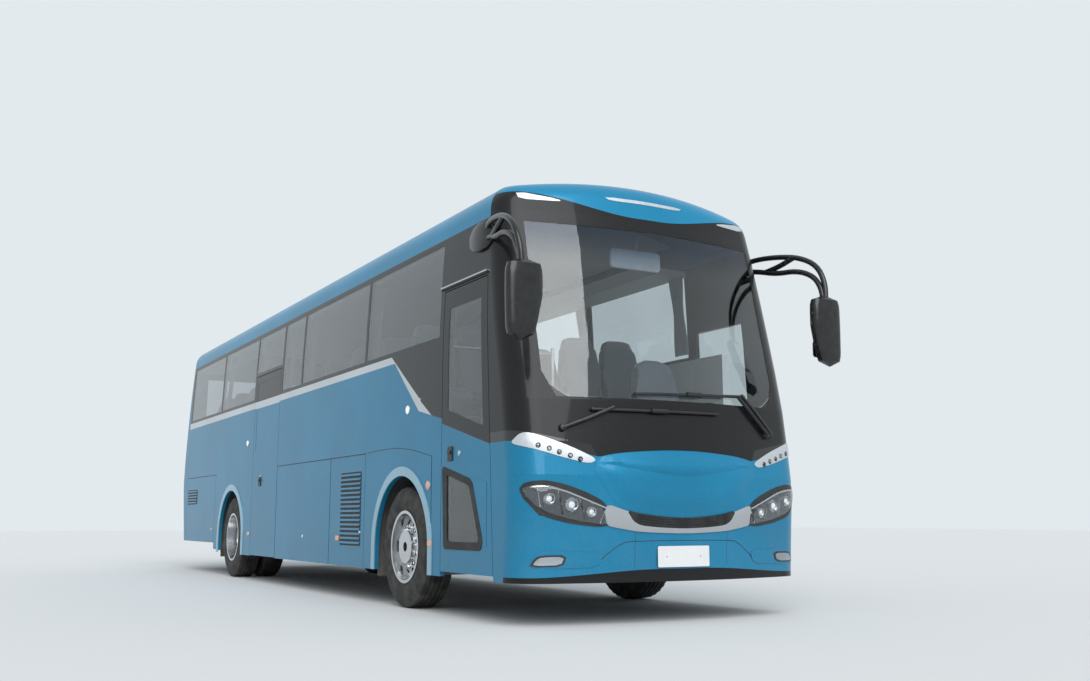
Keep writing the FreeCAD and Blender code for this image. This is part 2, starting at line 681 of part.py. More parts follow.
def door_window_outlines():
    """The front door's two windows."""
    rear = DOOR_REAR_X + DOOR_GLASS_MARGIN
    upper = [(rear, DOOR_UPPER_GLASS_REAR), (nose_seam_x(DOOR_UPPER_GLASS_FRONT) - DOOR_GLASS_MARGIN,
                                             DOOR_UPPER_GLASS_FRONT),
             (nose_seam_x(DOOR_GLASS_TOP) - DOOR_GLASS_MARGIN, DOOR_GLASS_TOP), (rear, DOOR_GLASS_TOP)]
    lower_front = nose_seam_x(DOOR_LOWER_GLASS_BOTTOM) - DOOR_GLASS_MARGIN
    lower = [(rear, DOOR_LOWER_GLASS_BOTTOM), (lower_front, DOOR_LOWER_GLASS_BOTTOM),
             (lower_front, DOOR_LOWER_GLASS_FRONT_TOP), (rear, DOOR_LOWER_GLASS_REAR_TOP)]
    return [upper, lower]


def mid_window_outlines():
    """The middle door's window."""
    return [rectangle(MID_DOOR_REAR_X + MID_GLASS_MARGIN, MID_DOOR_FRONT_X - MID_GLASS_MARGIN,
                      MID_GLASS_BOTTOM, MID_DOOR_TOP - MID_GLASS_MARGIN)]


def door_places(name):
    """A door's post, its pin in the leaf, and which way the closed arm points, in plan."""
    if name == "front_door":
        post = Vector(nose_seam_x(DOOR_ARM_HEIGHTS[1]) - DOOR_POST_INSET, -HALF_WIDTH + WALL + DOOR_POST_DEPTH, 0)
        way = -1
    else:
        post = Vector(MID_DOOR_REAR_X + DOOR_POST_INSET, -HALF_WIDTH + WALL + DOOR_POST_DEPTH, 0)
        way = 1
    pin = Vector(post.x + way * DOOR_ARM_LENGTH, -HALF_WIDTH + WALL + DOOR_PIN_DEPTH, 0)
    return post, pin


def doors():
    """The two outswing doors, each leaf on a swinging arm that a post inside the opening carries."""
    shell = skin("middle")
    glass = skin("middle", GLASS_RECESS, GLASS_THICKNESS)
    for name, outline, windows, sill, top in (
            ("front_door", door_outline(MOVING_GAP), door_window_outlines(), DOOR_SILL, DOOR_TOP),
            ("mid_door", mid_door_outline(MOVING_GAP), mid_window_outlines(), MID_DOOR_SILL, MID_DOOR_TOP)):
        post, pin = door_places(name)
        leaf = cut_all(side_region(outline, -1, shell), [side_prism(window, -1) for window in windows])
        lugs, arms = [], []
        for height in DOOR_ARM_HEIGHTS:
            low = height - DOOR_ARM_HEIGHT
            high = height + DOOR_ARM_HEIGHT
            eye_low, eye_high = height - DOOR_ARM_HEIGHT / 2, height + DOOR_ARM_HEIGHT / 2
            for start, end in ((low, eye_low - PIVOT_CLEARANCE), (eye_high + PIVOT_CLEARANCE, high)):
                lug = bounds_box(pin.x - DOOR_PIN_RADIUS * 2, pin.x + DOOR_PIN_RADIUS * 2,
                                 pin.y + DOOR_PIN_RADIUS * 1.5, -HALF_WIDTH + WALL / 2, start, end)
                lugs.append(lug)
            lugs.append(cylinder(DOOR_PIN_RADIUS, Vector(pin.x, pin.y, low), Vector(pin.x, pin.y, high)))
            direction = pin - post
            normal = Vector(-direction.y, direction.x, 0)
            normal.normalize()
            offset = normal * (DOOR_ARM_WIDTH / 2)
            points = [post + offset, pin + offset, pin - offset, post - offset]
            bar = prism([Vector(p.x, p.y, eye_low) for p in points], Vector(0, 0, DOOR_ARM_HEIGHT))
            eye = cylinder(DOOR_EYE_RADIUS, Vector(pin.x, pin.y, eye_low), Vector(pin.x, pin.y, eye_high))
            bore = cylinder(DOOR_PIN_RADIUS + PIVOT_CLEARANCE, Vector(pin.x, pin.y, low),
                            Vector(pin.x, pin.y, high))
            arms.append(bar.fuse(eye).cut(bore))
        clear_leaf = leaf.cut([cylinder(DOOR_EYE_RADIUS + MOVING_GAP, Vector(pin.x, pin.y, h - DOOR_ARM_HEIGHT * 0.6),
                                        Vector(pin.x, pin.y, h + DOOR_ARM_HEIGHT * 0.6)) for h in DOOR_ARM_HEIGHTS])
        shaft = cylinder(DOOR_POST_RADIUS, Vector(post.x, post.y, sill + STEP_HEAD + PIVOT_CLEARANCE),
                         Vector(post.x, post.y, top - WALL))
        save(name + "_arm", [fused([shaft] + arms)])
        save(name, [fused([clear_leaf] + lugs)])
        save(name + "_glass", [side_region(window, -1, glass) for window in windows])


STEP_HEAD = 160.0


def luggage_flaps():
    """The flaps of the bays, hung from a hinge strip in the seam above each."""
    shell = skin("middle")
    hinges = []
    for side_name, side in SIDES.items():
        for flap_name, (rear, front, sill) in flap_spans().items():
            outline = rectangle(rear + MOVING_GAP, front - MOVING_GAP, sill, FLAP_TOP - MOVING_GAP)
            flap = side_region(outline, side, shell)
            flap = flap.cut([arch_cutter(x, side, ARCH_RADIUS + ARCH_LIP + MOVING_GAP, KINGPIN_Y,
                                         HALF_WIDTH + OVERRUN) for x in (FRONT_AXLE_X, REAR_AXLE_X)])
            save("flap_" + side_name + "_" + flap_name, [flap])
            hinges.append(hinge_strip(Vector(rear + MOVING_GAP, side * HALF_WIDTH, FLAP_TOP - MOVING_GAP / 2),
                                      Vector(front - MOVING_GAP, side * HALF_WIDTH, FLAP_TOP - MOVING_GAP / 2),
                                      Vector(0, -side, 0)))
    save("flap_hinges", hinges + [engine_door_hinge()])


def hinge_strip(start, end, inwards):
    """A hinge rod in a seam, on a leaf that lies against the seam's upper edge."""
    rod = cylinder(MOVING_GAP / 2 - PIVOT_CLEARANCE, start, end)
    up = Vector(0, 0, MOVING_GAP / 2 - HINGE_LEAF)
    corner = start + up
    leaf = prism([corner, end + up, end + up + inwards * WALL, corner + inwards * WALL], Vector(0, 0, HINGE_LEAF))
    return rod.fuse(leaf)


def rear_face_x(height):
    """Where the rear wall's outer face lies at a height."""
    probe = Part.LineSegment(Vector(REAR_X - OVERRUN, 0, height), Vector(0, 0, height)).toShape()
    return probe.common(end_form(0.0)).BoundBox.XMin


def engine_door_hinge():
    """The engine door's hinge strip."""
    height = ENGINE_DOOR_TOP - MOVING_GAP / 2
    x = rear_face_x(height)
    half = ENGINE_DOOR_HALF - MOVING_GAP
    return hinge_strip(Vector(x, -half, height), Vector(x, half, height), X_AXIS)


def arch_trim():
    """The pale lips round the wheel arches."""
    lips = []
    proud = skin("middle", -TRIM_HEIGHT, TRIM_HEIGHT)
    for side in SIDES.values():
        for axle_x in (FRONT_AXLE_X, REAR_AXLE_X):
            outer = arch_cutter(axle_x, side, ARCH_RADIUS + ARCH_LIP, HALF_WIDTH - WALL, HALF_WIDTH + OVERRUN)
            inner = arch_cutter(axle_x, side, ARCH_RADIUS, HALF_WIDTH - 2 * WALL, HALF_WIDTH + 2 * OVERRUN)
            below = bounds_box(axle_x - 2 * ARCH_RADIUS, axle_x + 2 * ARCH_RADIUS, 0, side * BODY_WIDTH,
                               -ARCH_RADIUS, SKIRT_HEIGHT)
            lips.append(proud.common(outer).cut(inner).cut(below))
    save("arch_lips", lips)


WHEEL_Y = HALF_WIDTH - TYRE_INSET - TYRE_WIDTH / 2
INNER_TWIN_Y = WHEEL_Y - TWIN_SPACING
HUB_DEPTH = 110.0
DISC_THICKNESS = 14.0
FRONT_DISC_OUT = 85.0
REAR_DISC_IN = 60.0
DISC_FACE_RADIUS = 165.0


def tyre(centre, side):
    """A tyre's outer form: a flat tread, bevelled shoulders and walls that lean in to the beads."""
    half = TYRE_WIDTH / 2
    shoulder = half * 0.3
    profile = [(RIM_RADIUS, half * 0.8), (RIM_RADIUS + TYRE_WIDTH / 3, half), (TYRE_RADIUS - shoulder, half),
               (TYRE_RADIUS, half - shoulder)]
    profile += [(radius, -out) for radius, out in reversed(profile)]
    return revolved(profile, centre, side)


def rim(centre, side, face_out):
    """A wheel: a barrel with flanges inside the tyre and a dished disc with hand holes."""
    half = RIM_WIDTH / 2
    barrel = revolved([
        (RIM_RADIUS, -half), (RIM_RADIUS, half), (RIM_RADIUS + RIM_FLANGE, half + RIM_WALL),
        (RIM_RADIUS - RIM_WALL, half + RIM_WALL), (RIM_RADIUS - RIM_WALL - RIM_FLANGE, 0),
        (RIM_RADIUS - RIM_WALL, -half - RIM_WALL), (RIM_RADIUS + RIM_FLANGE, -half - RIM_WALL)], centre, side)
    root_out = face_out - math.copysign(HUB_DEPTH / 2, face_out)
    edge = RIM_RADIUS - RIM_WALL / 2
    bore = HUB_RADIUS - RIM_WALL
    disc = revolved([
        (edge, root_out), (DISC_FACE_RADIUS, face_out), (bore, face_out),
        (bore, face_out - DISC_THICKNESS), (DISC_FACE_RADIUS, face_out - DISC_THICKNESS),
        (edge, root_out - DISC_THICKNESS)], centre, side)
    holes = []
    for index in range(HAND_HOLES):
        angle = 2 * math.pi * index / HAND_HOLES
        x = centre.x + HAND_HOLE_CIRCLE * math.cos(angle)
        z = centre.z + HAND_HOLE_CIRCLE * math.sin(angle)
        holes.append(cylinder(HAND_HOLE_RADIUS, Vector(x, centre.y - RIM_WIDTH, z), Vector(x, centre.y + RIM_WIDTH, z)))
    return barrel.fuse(disc.cut(holes))


def hub(centre, side, inner_out, outer_out, spindle_radius):
    """The hub drum that carries the discs, bored for the spindle."""
    bore = spindle_radius + PIVOT_CLEARANCE
    return revolved([(bore, inner_out), (HUB_RADIUS, inner_out), (HUB_RADIUS, outer_out), (bore, outer_out)],
                    centre, side)


def wheels():
    """The front wheels and the rear twins, each tyre a solid round its rim."""
    for name, side in SIDES.items():
        front = Vector(FRONT_AXLE_X, side * WHEEL_Y, TYRE_RADIUS)
        save("tyre_front_" + name, [tyre(front, side)])
        front_hub = hub(front, side, FRONT_DISC_OUT - DISC_THICKNESS - HUB_DEPTH, FRONT_DISC_OUT + HUB_DEPTH / 3,
                        SPINDLE_RADIUS)
        save("rim_front_" + name, [fused([rim(front, side, FRONT_DISC_OUT), front_hub])])
        outer = Vector(REAR_AXLE_X, side * WHEEL_Y, TYRE_RADIUS)
        inner = Vector(REAR_AXLE_X, side * INNER_TWIN_Y, TYRE_RADIUS)
        save("tyre_rear_" + name, [tyre(outer, side), tyre(inner, side)])
        face = TWIN_SPACING / 2
        rear_hub = hub(outer, side, -TWIN_SPACING - HUB_DEPTH / 2, HUB_DEPTH / 3, REAR_SPINDLE_RADIUS)
        outer_rim = rim(outer, side, -face + DISC_THICKNESS)
        inner_rim = rim(inner, side, face)
        save("rim_rear_" + name, [fused([outer_rim, inner_rim, rear_hub])])


def axles():
    """The dropped front beam, the banjo rear axle, their air bellows and the steering knuckles."""
    boss_low = TYRE_RADIUS - KINGPIN_BOSS_HEIGHT / 2
    boss_high = TYRE_RADIUS + KINGPIN_BOSS_HEIGHT / 2
    beam_half = KINGPIN_Y - KINGPIN_BOSS_RADIUS / 2
    web = KINGPIN_BOSS_RADIUS
    outline = symmetric([(0, boss_high - BEAM_DROP), (RAIL_Y + BELLOWS_RADIUS, boss_high - BEAM_DROP),
                         (beam_half - 2 * web, boss_high - MOVING_GAP), (beam_half, boss_high - MOVING_GAP),
                         (beam_half, boss_low + MOVING_GAP), (beam_half - 2 * web, boss_low + MOVING_GAP),
                         (RAIL_Y + BELLOWS_RADIUS, boss_low - BEAM_DROP), (0, boss_low - BEAM_DROP)])
    beam = prism([Vector(FRONT_AXLE_X - web, y, z) for y, z in outline], Vector(2 * web, 0, 0))
    pieces = [beam]
    rail_bottom = FLOOR_TOP - FLOOR_THICKNESS - RAIL_HEIGHT
    for side in SIDES.values():
        kingpin = Vector(FRONT_AXLE_X, side * KINGPIN_Y, 0)
        pieces.append(cylinder(KINGPIN_BOSS_RADIUS, kingpin + Z_AXIS * boss_low, kingpin + Z_AXIS * boss_high))
        spring = Vector(FRONT_AXLE_X, side * RAIL_Y, 0)
        pieces.append(cylinder(BELLOWS_RADIUS / 2, spring + Z_AXIS * (boss_high - BEAM_DROP),
                               spring + Z_AXIS * (rail_bottom - BELLOWS_HEIGHT)))
        pieces.append(cylinder(BELLOWS_RADIUS, spring + Z_AXIS * (rail_bottom - BELLOWS_HEIGHT),
                               spring + Z_AXIS * rail_bottom))
    bores = [cylinder(KINGPIN_RADIUS + PIVOT_CLEARANCE, Vector(FRONT_AXLE_X, side * KINGPIN_Y, 0),
                      Vector(FRONT_AXLE_X, side * KINGPIN_Y, ROOF_HEIGHT)) for side in SIDES.values()]
    save("front_axle_beam", [fused(pieces).cut(bores)])
    banjo = Part.makeSphere(BANJO_RADIUS, Vector(REAR_AXLE_X, 0, TYRE_RADIUS))
    tube_end = INNER_TWIN_Y - RIM_WIDTH / 2 - 2 * RIM_WALL
    ends = [Vector(REAR_AXLE_X, side * tube_end, TYRE_RADIUS) for side in (-1, 1)]
    tube = cylinder(AXLE_TUBE_RADIUS, *ends)
    spindle_end = WHEEL_Y
    spindle = cylinder(REAR_SPINDLE_RADIUS, Vector(REAR_AXLE_X, -spindle_end, TYRE_RADIUS),
                       Vector(REAR_AXLE_X, spindle_end, TYRE_RADIUS))
    pieces = [banjo, tube, spindle]
    for side in SIDES.values():
        spring = Vector(REAR_AXLE_X, side * RAIL_Y, 0)
        pieces.append(cylinder(BELLOWS_RADIUS / 2, spring + Z_AXIS * TYRE_RADIUS,
                               spring + Z_AXIS * (rail_bottom - BELLOWS_HEIGHT)))
        pieces.append(cylinder(BELLOWS_RADIUS, spring + Z_AXIS * (rail_bottom - BELLOWS_HEIGHT),
                               spring + Z_AXIS * rail_bottom))
    save("rear_axle", [fused(pieces)])
    for name, side in SIDES.items():
        kingpin = Vector(FRONT_AXLE_X, side * KINGPIN_Y, 0)
        low = boss_low - KNUCKLE_EAR
        high = boss_high + KNUCKLE_EAR
        pin = cylinder(KINGPIN_RADIUS, kingpin + Z_AXIS * low, kingpin + Z_AXIS * high)
        ears = [cylinder(web, kingpin + Z_AXIS * low, kingpin + Z_AXIS * (boss_low - PIVOT_CLEARANCE)),
                cylinder(web, kingpin + Z_AXIS * (boss_high + PIVOT_CLEARANCE), kingpin + Z_AXIS * high)]
        back_y = kingpin.y + side * (web + MOVING_GAP)
        plate_y = back_y + side * KINGPIN_RADIUS
        plate = bounds_box(FRONT_AXLE_X - web, FRONT_AXLE_X + web, back_y, plate_y, low, high)
        for start, end in ((low, boss_low - PIVOT_CLEARANCE), (boss_high + PIVOT_CLEARANCE, high)):
            ears.append(bounds_box(FRONT_AXLE_X - web, FRONT_AXLE_X + web, kingpin.y, back_y, start, end))
        spindle = cylinder(SPINDLE_RADIUS, Vector(FRONT_AXLE_X, back_y, TYRE_RADIUS),
                           Vector(FRONT_AXLE_X, side * (WHEEL_Y + HUB_DEPTH / 2), TYRE_RADIUS))
        arm = bounds_box(FRONT_AXLE_X - STEER_ARM, FRONT_AXLE_X, kingpin.y - side * KINGPIN_RADIUS,
                         kingpin.y + side * KINGPIN_RADIUS, low, low + KINGPIN_RADIUS)
        save("knuckle_" + name, [fused([pin, plate, spindle, arm] + ears)])


STEER_ARM = 220.0


def chassis():
    """Two box rails below the floor with cross members, and the towing eyes at both ends."""
    top = FLOOR_TOP - FLOOR_THICKNESS
    bottom = top - RAIL_HEIGHT
    rear = REAR_SEAM_X
    front = PLATFORM_REAR_X - FLOOR_THICKNESS
    pieces = [bounds_box(rear, front, side * RAIL_Y - RAIL_WIDTH / 2, side * RAIL_Y + RAIL_WIDTH / 2, bottom, top)
              for side in SIDES.values()]
    members = 6
    for index in range(members + 1):
        x = rear + index * (front - rear - RAIL_WIDTH) / members
        pieces.append(bounds_box(x, x + RAIL_WIDTH, -HALF_WIDTH + WALL + FRAME_GAP, HALF_WIDTH - WALL - FRAME_GAP,
                                 top - RAIL_WIDTH, top))
    low = PLATFORM_TOP - FLOOR_THICKNESS - RAIL_WIDTH
    for side in SIDES.values():
        y = side * RAIL_Y
        pieces.append(bounds_box(front - RAIL_WIDTH, PLATFORM_FRONT_X, y - RAIL_WIDTH / 2, y + RAIL_WIDTH / 2,
                                 low, low + RAIL_WIDTH))
        pieces.append(bounds_box(front - RAIL_WIDTH, front, y - RAIL_WIDTH / 2, y + RAIL_WIDTH / 2, low, top))
    half = HALF_WIDTH - WALL
    wells = [bounds_box(rear_x, front_x, -half - OVERRUN, -half + STEP_COUNT * STEP_GOING + WALL, 0, top)
             for rear_x, front_x in ((MID_DOOR_REAR_X, MID_DOOR_FRONT_X), (DOOR_REAR_X, NOSE_X))]
    save("chassis_frame", [fused(pieces).cut(wells)])


FRAME_GAP = 5.0
PLATFORM_REAR_X = 4080.0


def stairs(x0, x1, sill, top):
    """A flight that climbs from the doorway towards the aisle, as a folded plate."""
    rise = (top - sill) / STEP_COUNT
    y = -HALF_WIDTH + WALL + FRAME_GAP
    upper, lower = [], []
    for step in range(STEP_COUNT):
        tread = sill + step * rise
        upper += [(y + step * STEP_GOING, tread), (y + (step + 1) * STEP_GOING, tread)]
        lower += [(y + step * STEP_GOING + STEP_SHELL * (step > 0), tread - STEP_SHELL),
                  (y + (step + 1) * STEP_GOING + STEP_SHELL, tread - STEP_SHELL)]
    end = (y + STEP_COUNT * STEP_GOING, top)
    last = (y + STEP_COUNT * STEP_GOING + STEP_SHELL, top)
    points = upper + [end, last] + lower[::-1]
    return prism([Vector(x0, y_, z) for y_, z in points], Vector(x1 - x0, 0, 0))


def floors():
    """The raised saloon floor with its stairwells, and the driver's platform in front."""
    half = HALF_WIDTH - WALL - FRAME_GAP
    low = FLOOR_TOP - FLOOR_THICKNESS
    well = STEP_COUNT * STEP_GOING
    edge = -half - OVERRUN
    saloon = bounds_box(REAR_SEAM_X, PLATFORM_REAR_X, -half, half, low, FLOOR_TOP)
    mid_well = bounds_box(MID_DOOR_REAR_X, MID_DOOR_FRONT_X, edge, -half + well, low - OVERRUN, FLOOR_TOP + OVERRUN)
    saloon = saloon.cut(mid_well)
    platform_low = PLATFORM_TOP - FLOOR_THICKNESS
    platform = bounds_box(PLATFORM_REAR_X - FLOOR_THICKNESS, PLATFORM_FRONT_X, -half, half, platform_low, PLATFORM_TOP)
    riser = bounds_box(PLATFORM_REAR_X - FLOOR_THICKNESS, PLATFORM_REAR_X, -half, half, platform_low, low)
    front_well = bounds_box(DOOR_REAR_X, nose_seam_x(DOOR_SILL), edge, -half + well, 0, PLATFORM_TOP + FLOOR_THICKNESS)
    platform = platform.cut(front_well).common(open_form(LAMP_DEPTH + FRAME_GAP))
    mid_stairs = stairs(MID_DOOR_REAR_X, MID_DOOR_FRONT_X, MID_DOOR_SILL + STEP_HEAD, FLOOR_TOP)
    front_stairs = stairs(DOOR_REAR_X, nose_seam_x(DOOR_SILL), DOOR_SILL + STEP_HEAD, PLATFORM_TOP)
    front_stairs = front_stairs.common(open_form(WALL + FRAME_GAP))
    save("cabin_floor", [fused([saloon, platform, riser, mid_stairs, front_stairs])])


def bays():
    """The luggage bay floors and bulkheads, and the wheelhouse liners."""
    half = HALF_WIDTH - WALL - FRAME_GAP
    ceiling = FLOOR_TOP - FLOOR_THICKNESS
    pieces = []
    low = BAY_FLOOR_TOP - BAY_FLOOR_THICKNESS
    pieces.append(bounds_box(MID_DOOR_FRONT_X, BAY_FRONT_X, -half, half, low, BAY_FLOOR_TOP))
    rails = [bounds_box(REAR_SEAM_X, PLATFORM_REAR_X, side * RAIL_Y - RAIL_WIDTH / 2 - FRAME_GAP / 10,
                        side * RAIL_Y + RAIL_WIDTH / 2 + FRAME_GAP / 10, ceiling - RAIL_HEIGHT - FRAME_GAP / 10,
                        ceiling) for side in SIDES.values()]
    for x in (MID_DOOR_FRONT_X, BAY_SPLIT_X - LINER / 2, BAY_FRONT_X - LINER):
        pieces.append(bounds_box(x, x + LINER, -half, half, low, ceiling - RAIL_WIDTH).cut(rails))
    liners = []
    inner = KINGPIN_Y - 350.0
    for axle_x in (FRONT_AXLE_X, REAR_AXLE_X):
        for side in SIDES.values():
            outer = arch_cutter(axle_x, side, ARCH_RADIUS + WHEELHOUSE_GAP + LINER, inner, half)
            hollow = arch_cutter(axle_x, side, ARCH_RADIUS + WHEELHOUSE_GAP, inner + LINER, half + WALL)
            below = bounds_box(axle_x - 2 * ARCH_RADIUS, axle_x + 2 * ARCH_RADIUS, 0, side * BODY_WIDTH,
                               -ARCH_RADIUS, SKIRT_HEIGHT)
            liner = outer.cut(hollow).cut(below)
            if axle_x == REAR_AXLE_X:
                axle = cylinder(AXLE_TUBE_RADIUS * 2, Vector(axle_x, 0, TYRE_RADIUS),
                                Vector(axle_x, side * (inner + 2 * LINER), TYRE_RADIUS))
                slot = bounds_box(axle_x - AXLE_TUBE_RADIUS * 2, axle_x + AXLE_TUBE_RADIUS * 2, 0,
                                  side * (inner + 2 * LINER), 0, TYRE_RADIUS)
            else:
                reach = 4 * AXLE_TUBE_RADIUS
                axle = cylinder(reach, Vector(axle_x, 0, TYRE_RADIUS),
                                Vector(axle_x, side * (inner + 2 * LINER), TYRE_RADIUS))
                slot = bounds_box(axle_x - reach, axle_x + reach, 0, side * (inner + 2 * LINER), 0, TYRE_RADIUS)
            liners.append(liner.cut([axle, slot]))
    save("luggage_bays", [fused(pieces)])
    save("wheelhouses", liners)
    flaps = []
    for axle_x in (FRONT_AXLE_X, REAR_AXLE_X):
        x = axle_x - ARCH_RADIUS - WHEELHOUSE_GAP
        for side in SIDES.values():
            flaps.append(bounds_box(x, x + MUDFLAP, side * (half - TYRE_WIDTH), side * half, SKIRT_HEIGHT - LIP_DROP,
                                    TYRE_RADIUS))
    save("mudflaps", flaps)


MUDFLAP = 10.0
LIP_DROP = 60.0


def seat_profile(x, floor, height, back, depth):
    """A seat's side outline: cushion, leaning back and headrest, in (x, z)."""
    base = floor + height
    thick = depth / 4
    return [(x, floor), (x + depth * 0.3, floor), (x + depth * 0.35, base - thick), (x + depth, base - thick),
            (x + depth, base), (x + thick, base + thick / 4), (x - thick * 0.6, floor + back),
            (x - thick * 1.4, floor + back), (x - thick * 0.2, base - thick)]


def bench(x, y0, y1, floor):
    """One seat or bench between two side limits."""
    points = seat_profile(x, floor, SEAT_HEIGHT, SEAT_BACK_HEIGHT, SEAT_DEPTH)
    return prism([Vector(x_, y0, z) for x_, z in points], Vector(0, y1 - y0, 0))


def seats():
    """Twin benches on both sides of the aisle, leaving room at the stairwells, and the driver's seat."""
    half = HALF_WIDTH - WALL - SEAT_WALL_GAP
    rows = int((PLATFORM_REAR_X - SEAT_PITCH - REAR_SEAM_X - SEAT_PITCH / 2) / SEAT_PITCH)
    benches = []
    for side in SIDES.values():
        for row in range(rows):
            x = PLATFORM_REAR_X - SEAT_PITCH - row * SEAT_PITCH
            blocked = MID_DOOR_REAR_X - SEAT_DEPTH < x < MID_DOOR_FRONT_X + SEAT_DEPTH
            if side < 0 and blocked:
                continue
            benches.append(bench(x, side * (half - SEAT_WIDTH), side * half, FLOOR_TOP))
    save("passenger_seats", benches)
    driver_y = HALF_WIDTH / 2
    save("driver_seat", [bench(DRIVER_SEAT_X, driver_y - SEAT_WIDTH / 4, driver_y + SEAT_WIDTH / 4, PLATFORM_TOP)])


SEAT_WALL_GAP = 30.0
DRIVER_SEAT_X = 4360.0
DASH_TOP = 1600.0
DASH_REAR_X = 5000.0
DASH_DEPTH = 330.0
COLUMN_RADIUS = 30.0
STEERING_RADIUS = 230.0
STEERING_TUBE = 16.0
STEERING_TILT = 25.0


def steering_centre():
    """The middle of the steering wheel."""
    return Vector(DRIVER_SEAT_X + SEAT_DEPTH + STEERING_RADIUS / 2, HALF_WIDTH / 2, DASH_TOP - COLUMN_RADIUS)


def steering_axis():
    """The column's axis, from the floor towards the driver."""
    tilt = math.radians(STEERING_TILT)
    return Vector(-math.sin(tilt), 0, math.cos(tilt))


def dashboard():
    """The dashboard under the windscreen with the steering column, and the steering wheel on it."""
    half = HALF_WIDTH - WALL - FRAME_GAP
    low = DASH_TOP - DASH_DEPTH
    front = NOSE_X
    points = [(DASH_REAR_X, low), (front, low), (front, DASH_TOP - WALL), (DASH_REAR_X + WALL, DASH_TOP),
              (DASH_REAR_X - WALL, DASH_TOP - 2 * WALL)]
    dash = prism([Vector(x, -half, z) for x, z in points], Vector(0, 2 * half, 0))
    room = bounds_box(DOOR_REAR_X, DASH_REAR_X + 2 * WALL, -HALF_WIDTH, -HALF_WIDTH + STEP_COUNT * STEP_GOING,
                      0, ROOF_HEIGHT)
    dash = dash.common(open_form(WALL + FRAME_GAP)).cut(room)
    pedestal = bounds_box(PLATFORM_FRONT_X - 2 * LINER, PLATFORM_FRONT_X - LINER, -half / 2, half, PLATFORM_TOP, low)
    pedestal = pedestal.common(open_form(LAMP_DEPTH + FRAME_GAP))
    axis = steering_axis()
    centre = steering_centre()
    foot = centre - axis * ((centre.z - PLATFORM_TOP) / axis.z)
    top = centre - axis * (2 * STEERING_TUBE)
    column = cylinder(COLUMN_RADIUS, foot, top)
    column = column.cut(bounds_box(foot.x - OVERRUN, foot.x + OVERRUN, 0, HALF_WIDTH, 0, PLATFORM_TOP))
    brackets = [bounds_box(DASH_REAR_X + 2 * WALL, NOSE_X, y - COLUMN_RADIUS, y + COLUMN_RADIUS, low,
                           low + 2 * COLUMN_RADIUS) for y in (-half / 3, half / 3)]
    nose = open_form(WALL + FRAME_GAP / 10)
    save("dashboard", [fused([dash, pedestal] + [bracket.common(nose) for bracket in brackets]), column])
    ring = Part.makeTorus(STEERING_RADIUS - STEERING_TUBE, STEERING_TUBE, centre, axis)
    boss = cylinder(COLUMN_RADIUS, top + axis * (PIVOT_CLEARANCE / 2), centre)
    across = Y_AXIS * (STEERING_RADIUS - STEERING_TUBE)
    spokes = cylinder(STEERING_TUBE * 0.7, centre - across, centre + across)
    save("steering_wheel", [fused([ring, boss, spokes])])


RACK_WIDTH = 420.0
RACK_HEIGHT = 2960.0
RACK_THICKNESS = 60.0
HANDRAIL_RADIUS = 17.0


def racks():
    """The overhead luggage racks along both sides and the handrails at the stairs."""
    form = straight_form(WALL + FRAME_GAP / 5)
    shelves = []
    for side in SIDES.values():
        y = side * (HALF_WIDTH - RACK_WIDTH)
        shelf = bounds_box(REAR_SEAM_X, PLATFORM_REAR_X, y, side * HALF_WIDTH, RACK_HEIGHT,
                           RACK_HEIGHT + RACK_THICKNESS)
        lip = bounds_box(REAR_SEAM_X, PLATFORM_REAR_X, y, y + side * RACK_THICKNESS / 2, RACK_HEIGHT,
                         RACK_HEIGHT + 2 * RACK_THICKNESS)
        shelves.append(shelf.fuse(lip).common(form))
    save("luggage_racks", shelves)
    well = -HALF_WIDTH + WALL + FRAME_GAP + STEP_COUNT * STEP_GOING
    rails = []
    for x in (MID_DOOR_REAR_X - 3 * HANDRAIL_RADIUS, MID_DOOR_FRONT_X + 3 * HANDRAIL_RADIUS):
        rails.append(guard_rail(x, well, FLOOR_TOP))
    rails.append(guard_rail(DOOR_REAR_X - 6 * HANDRAIL_RADIUS, well, FLOOR_TOP))
    save("handrails", rails)


GUARD_HEIGHT = 850.0


def guard_rail(x, inner_y, floor):
    """A tubular guard: two posts and a top rail across the side seats."""
    outer_y = -HALF_WIDTH + WALL + GUARD_CLEAR
    top = floor + GUARD_HEIGHT
    inner = inner_y + 2 * HANDRAIL_RADIUS
    return fused([cylinder(HANDRAIL_RADIUS, Vector(x, outer_y, floor), Vector(x, outer_y, top)),
                  cylinder(HANDRAIL_RADIUS, Vector(x, inner, floor), Vector(x, inner, top)),
                  cylinder(HANDRAIL_RADIUS * 0.9, Vector(x, outer_y, top - 3 * HANDRAIL_RADIUS),
                           Vector(x, inner, top - 3 * HANDRAIL_RADIUS))])


GUARD_CLEAR = 60.0
ENGINE_LENGTH = 1150.0
ENGINE_WIDTH = 900.0
ENGINE_HEIGHT = 620.0
ENGINE_REAR_X = -5420.0


def engine():
    """The engine as one plain block, hung below the rails behind the rear axle."""
    top = FLOOR_TOP - FLOOR_THICKNESS - RAIL_HEIGHT
    save("engine_block", [bounds_box(ENGINE_REAR_X, ENGINE_REAR_X + ENGINE_LENGTH, -ENGINE_WIDTH / 2,
                                     ENGINE_WIDTH / 2, top - ENGINE_HEIGHT, top)])


MIRROR_HEAD_HEIGHT = 680.0
MIRROR_HEAD_WIDTH = 230.0
MIRROR_HEAD_DEPTH = 110.0
MIRROR_HEAD_TOP = 2660.0
MIRROR_HEAD_Y = 1395.0
MIRROR_ARM_RADIUS = 22.0
MIRROR_BASE_HEIGHT = 2850.0
MIRROR_BASE_X = 4960.0


def bar_through(points, radius):
    """A round bar through points, with a ball at each bend."""
    pieces = [cylinder(radius, a, b) for a, b in zip(points, points[1:])]
    pieces += [Part.makeSphere(radius, point) for point in points[1:]]
    return fused(pieces)


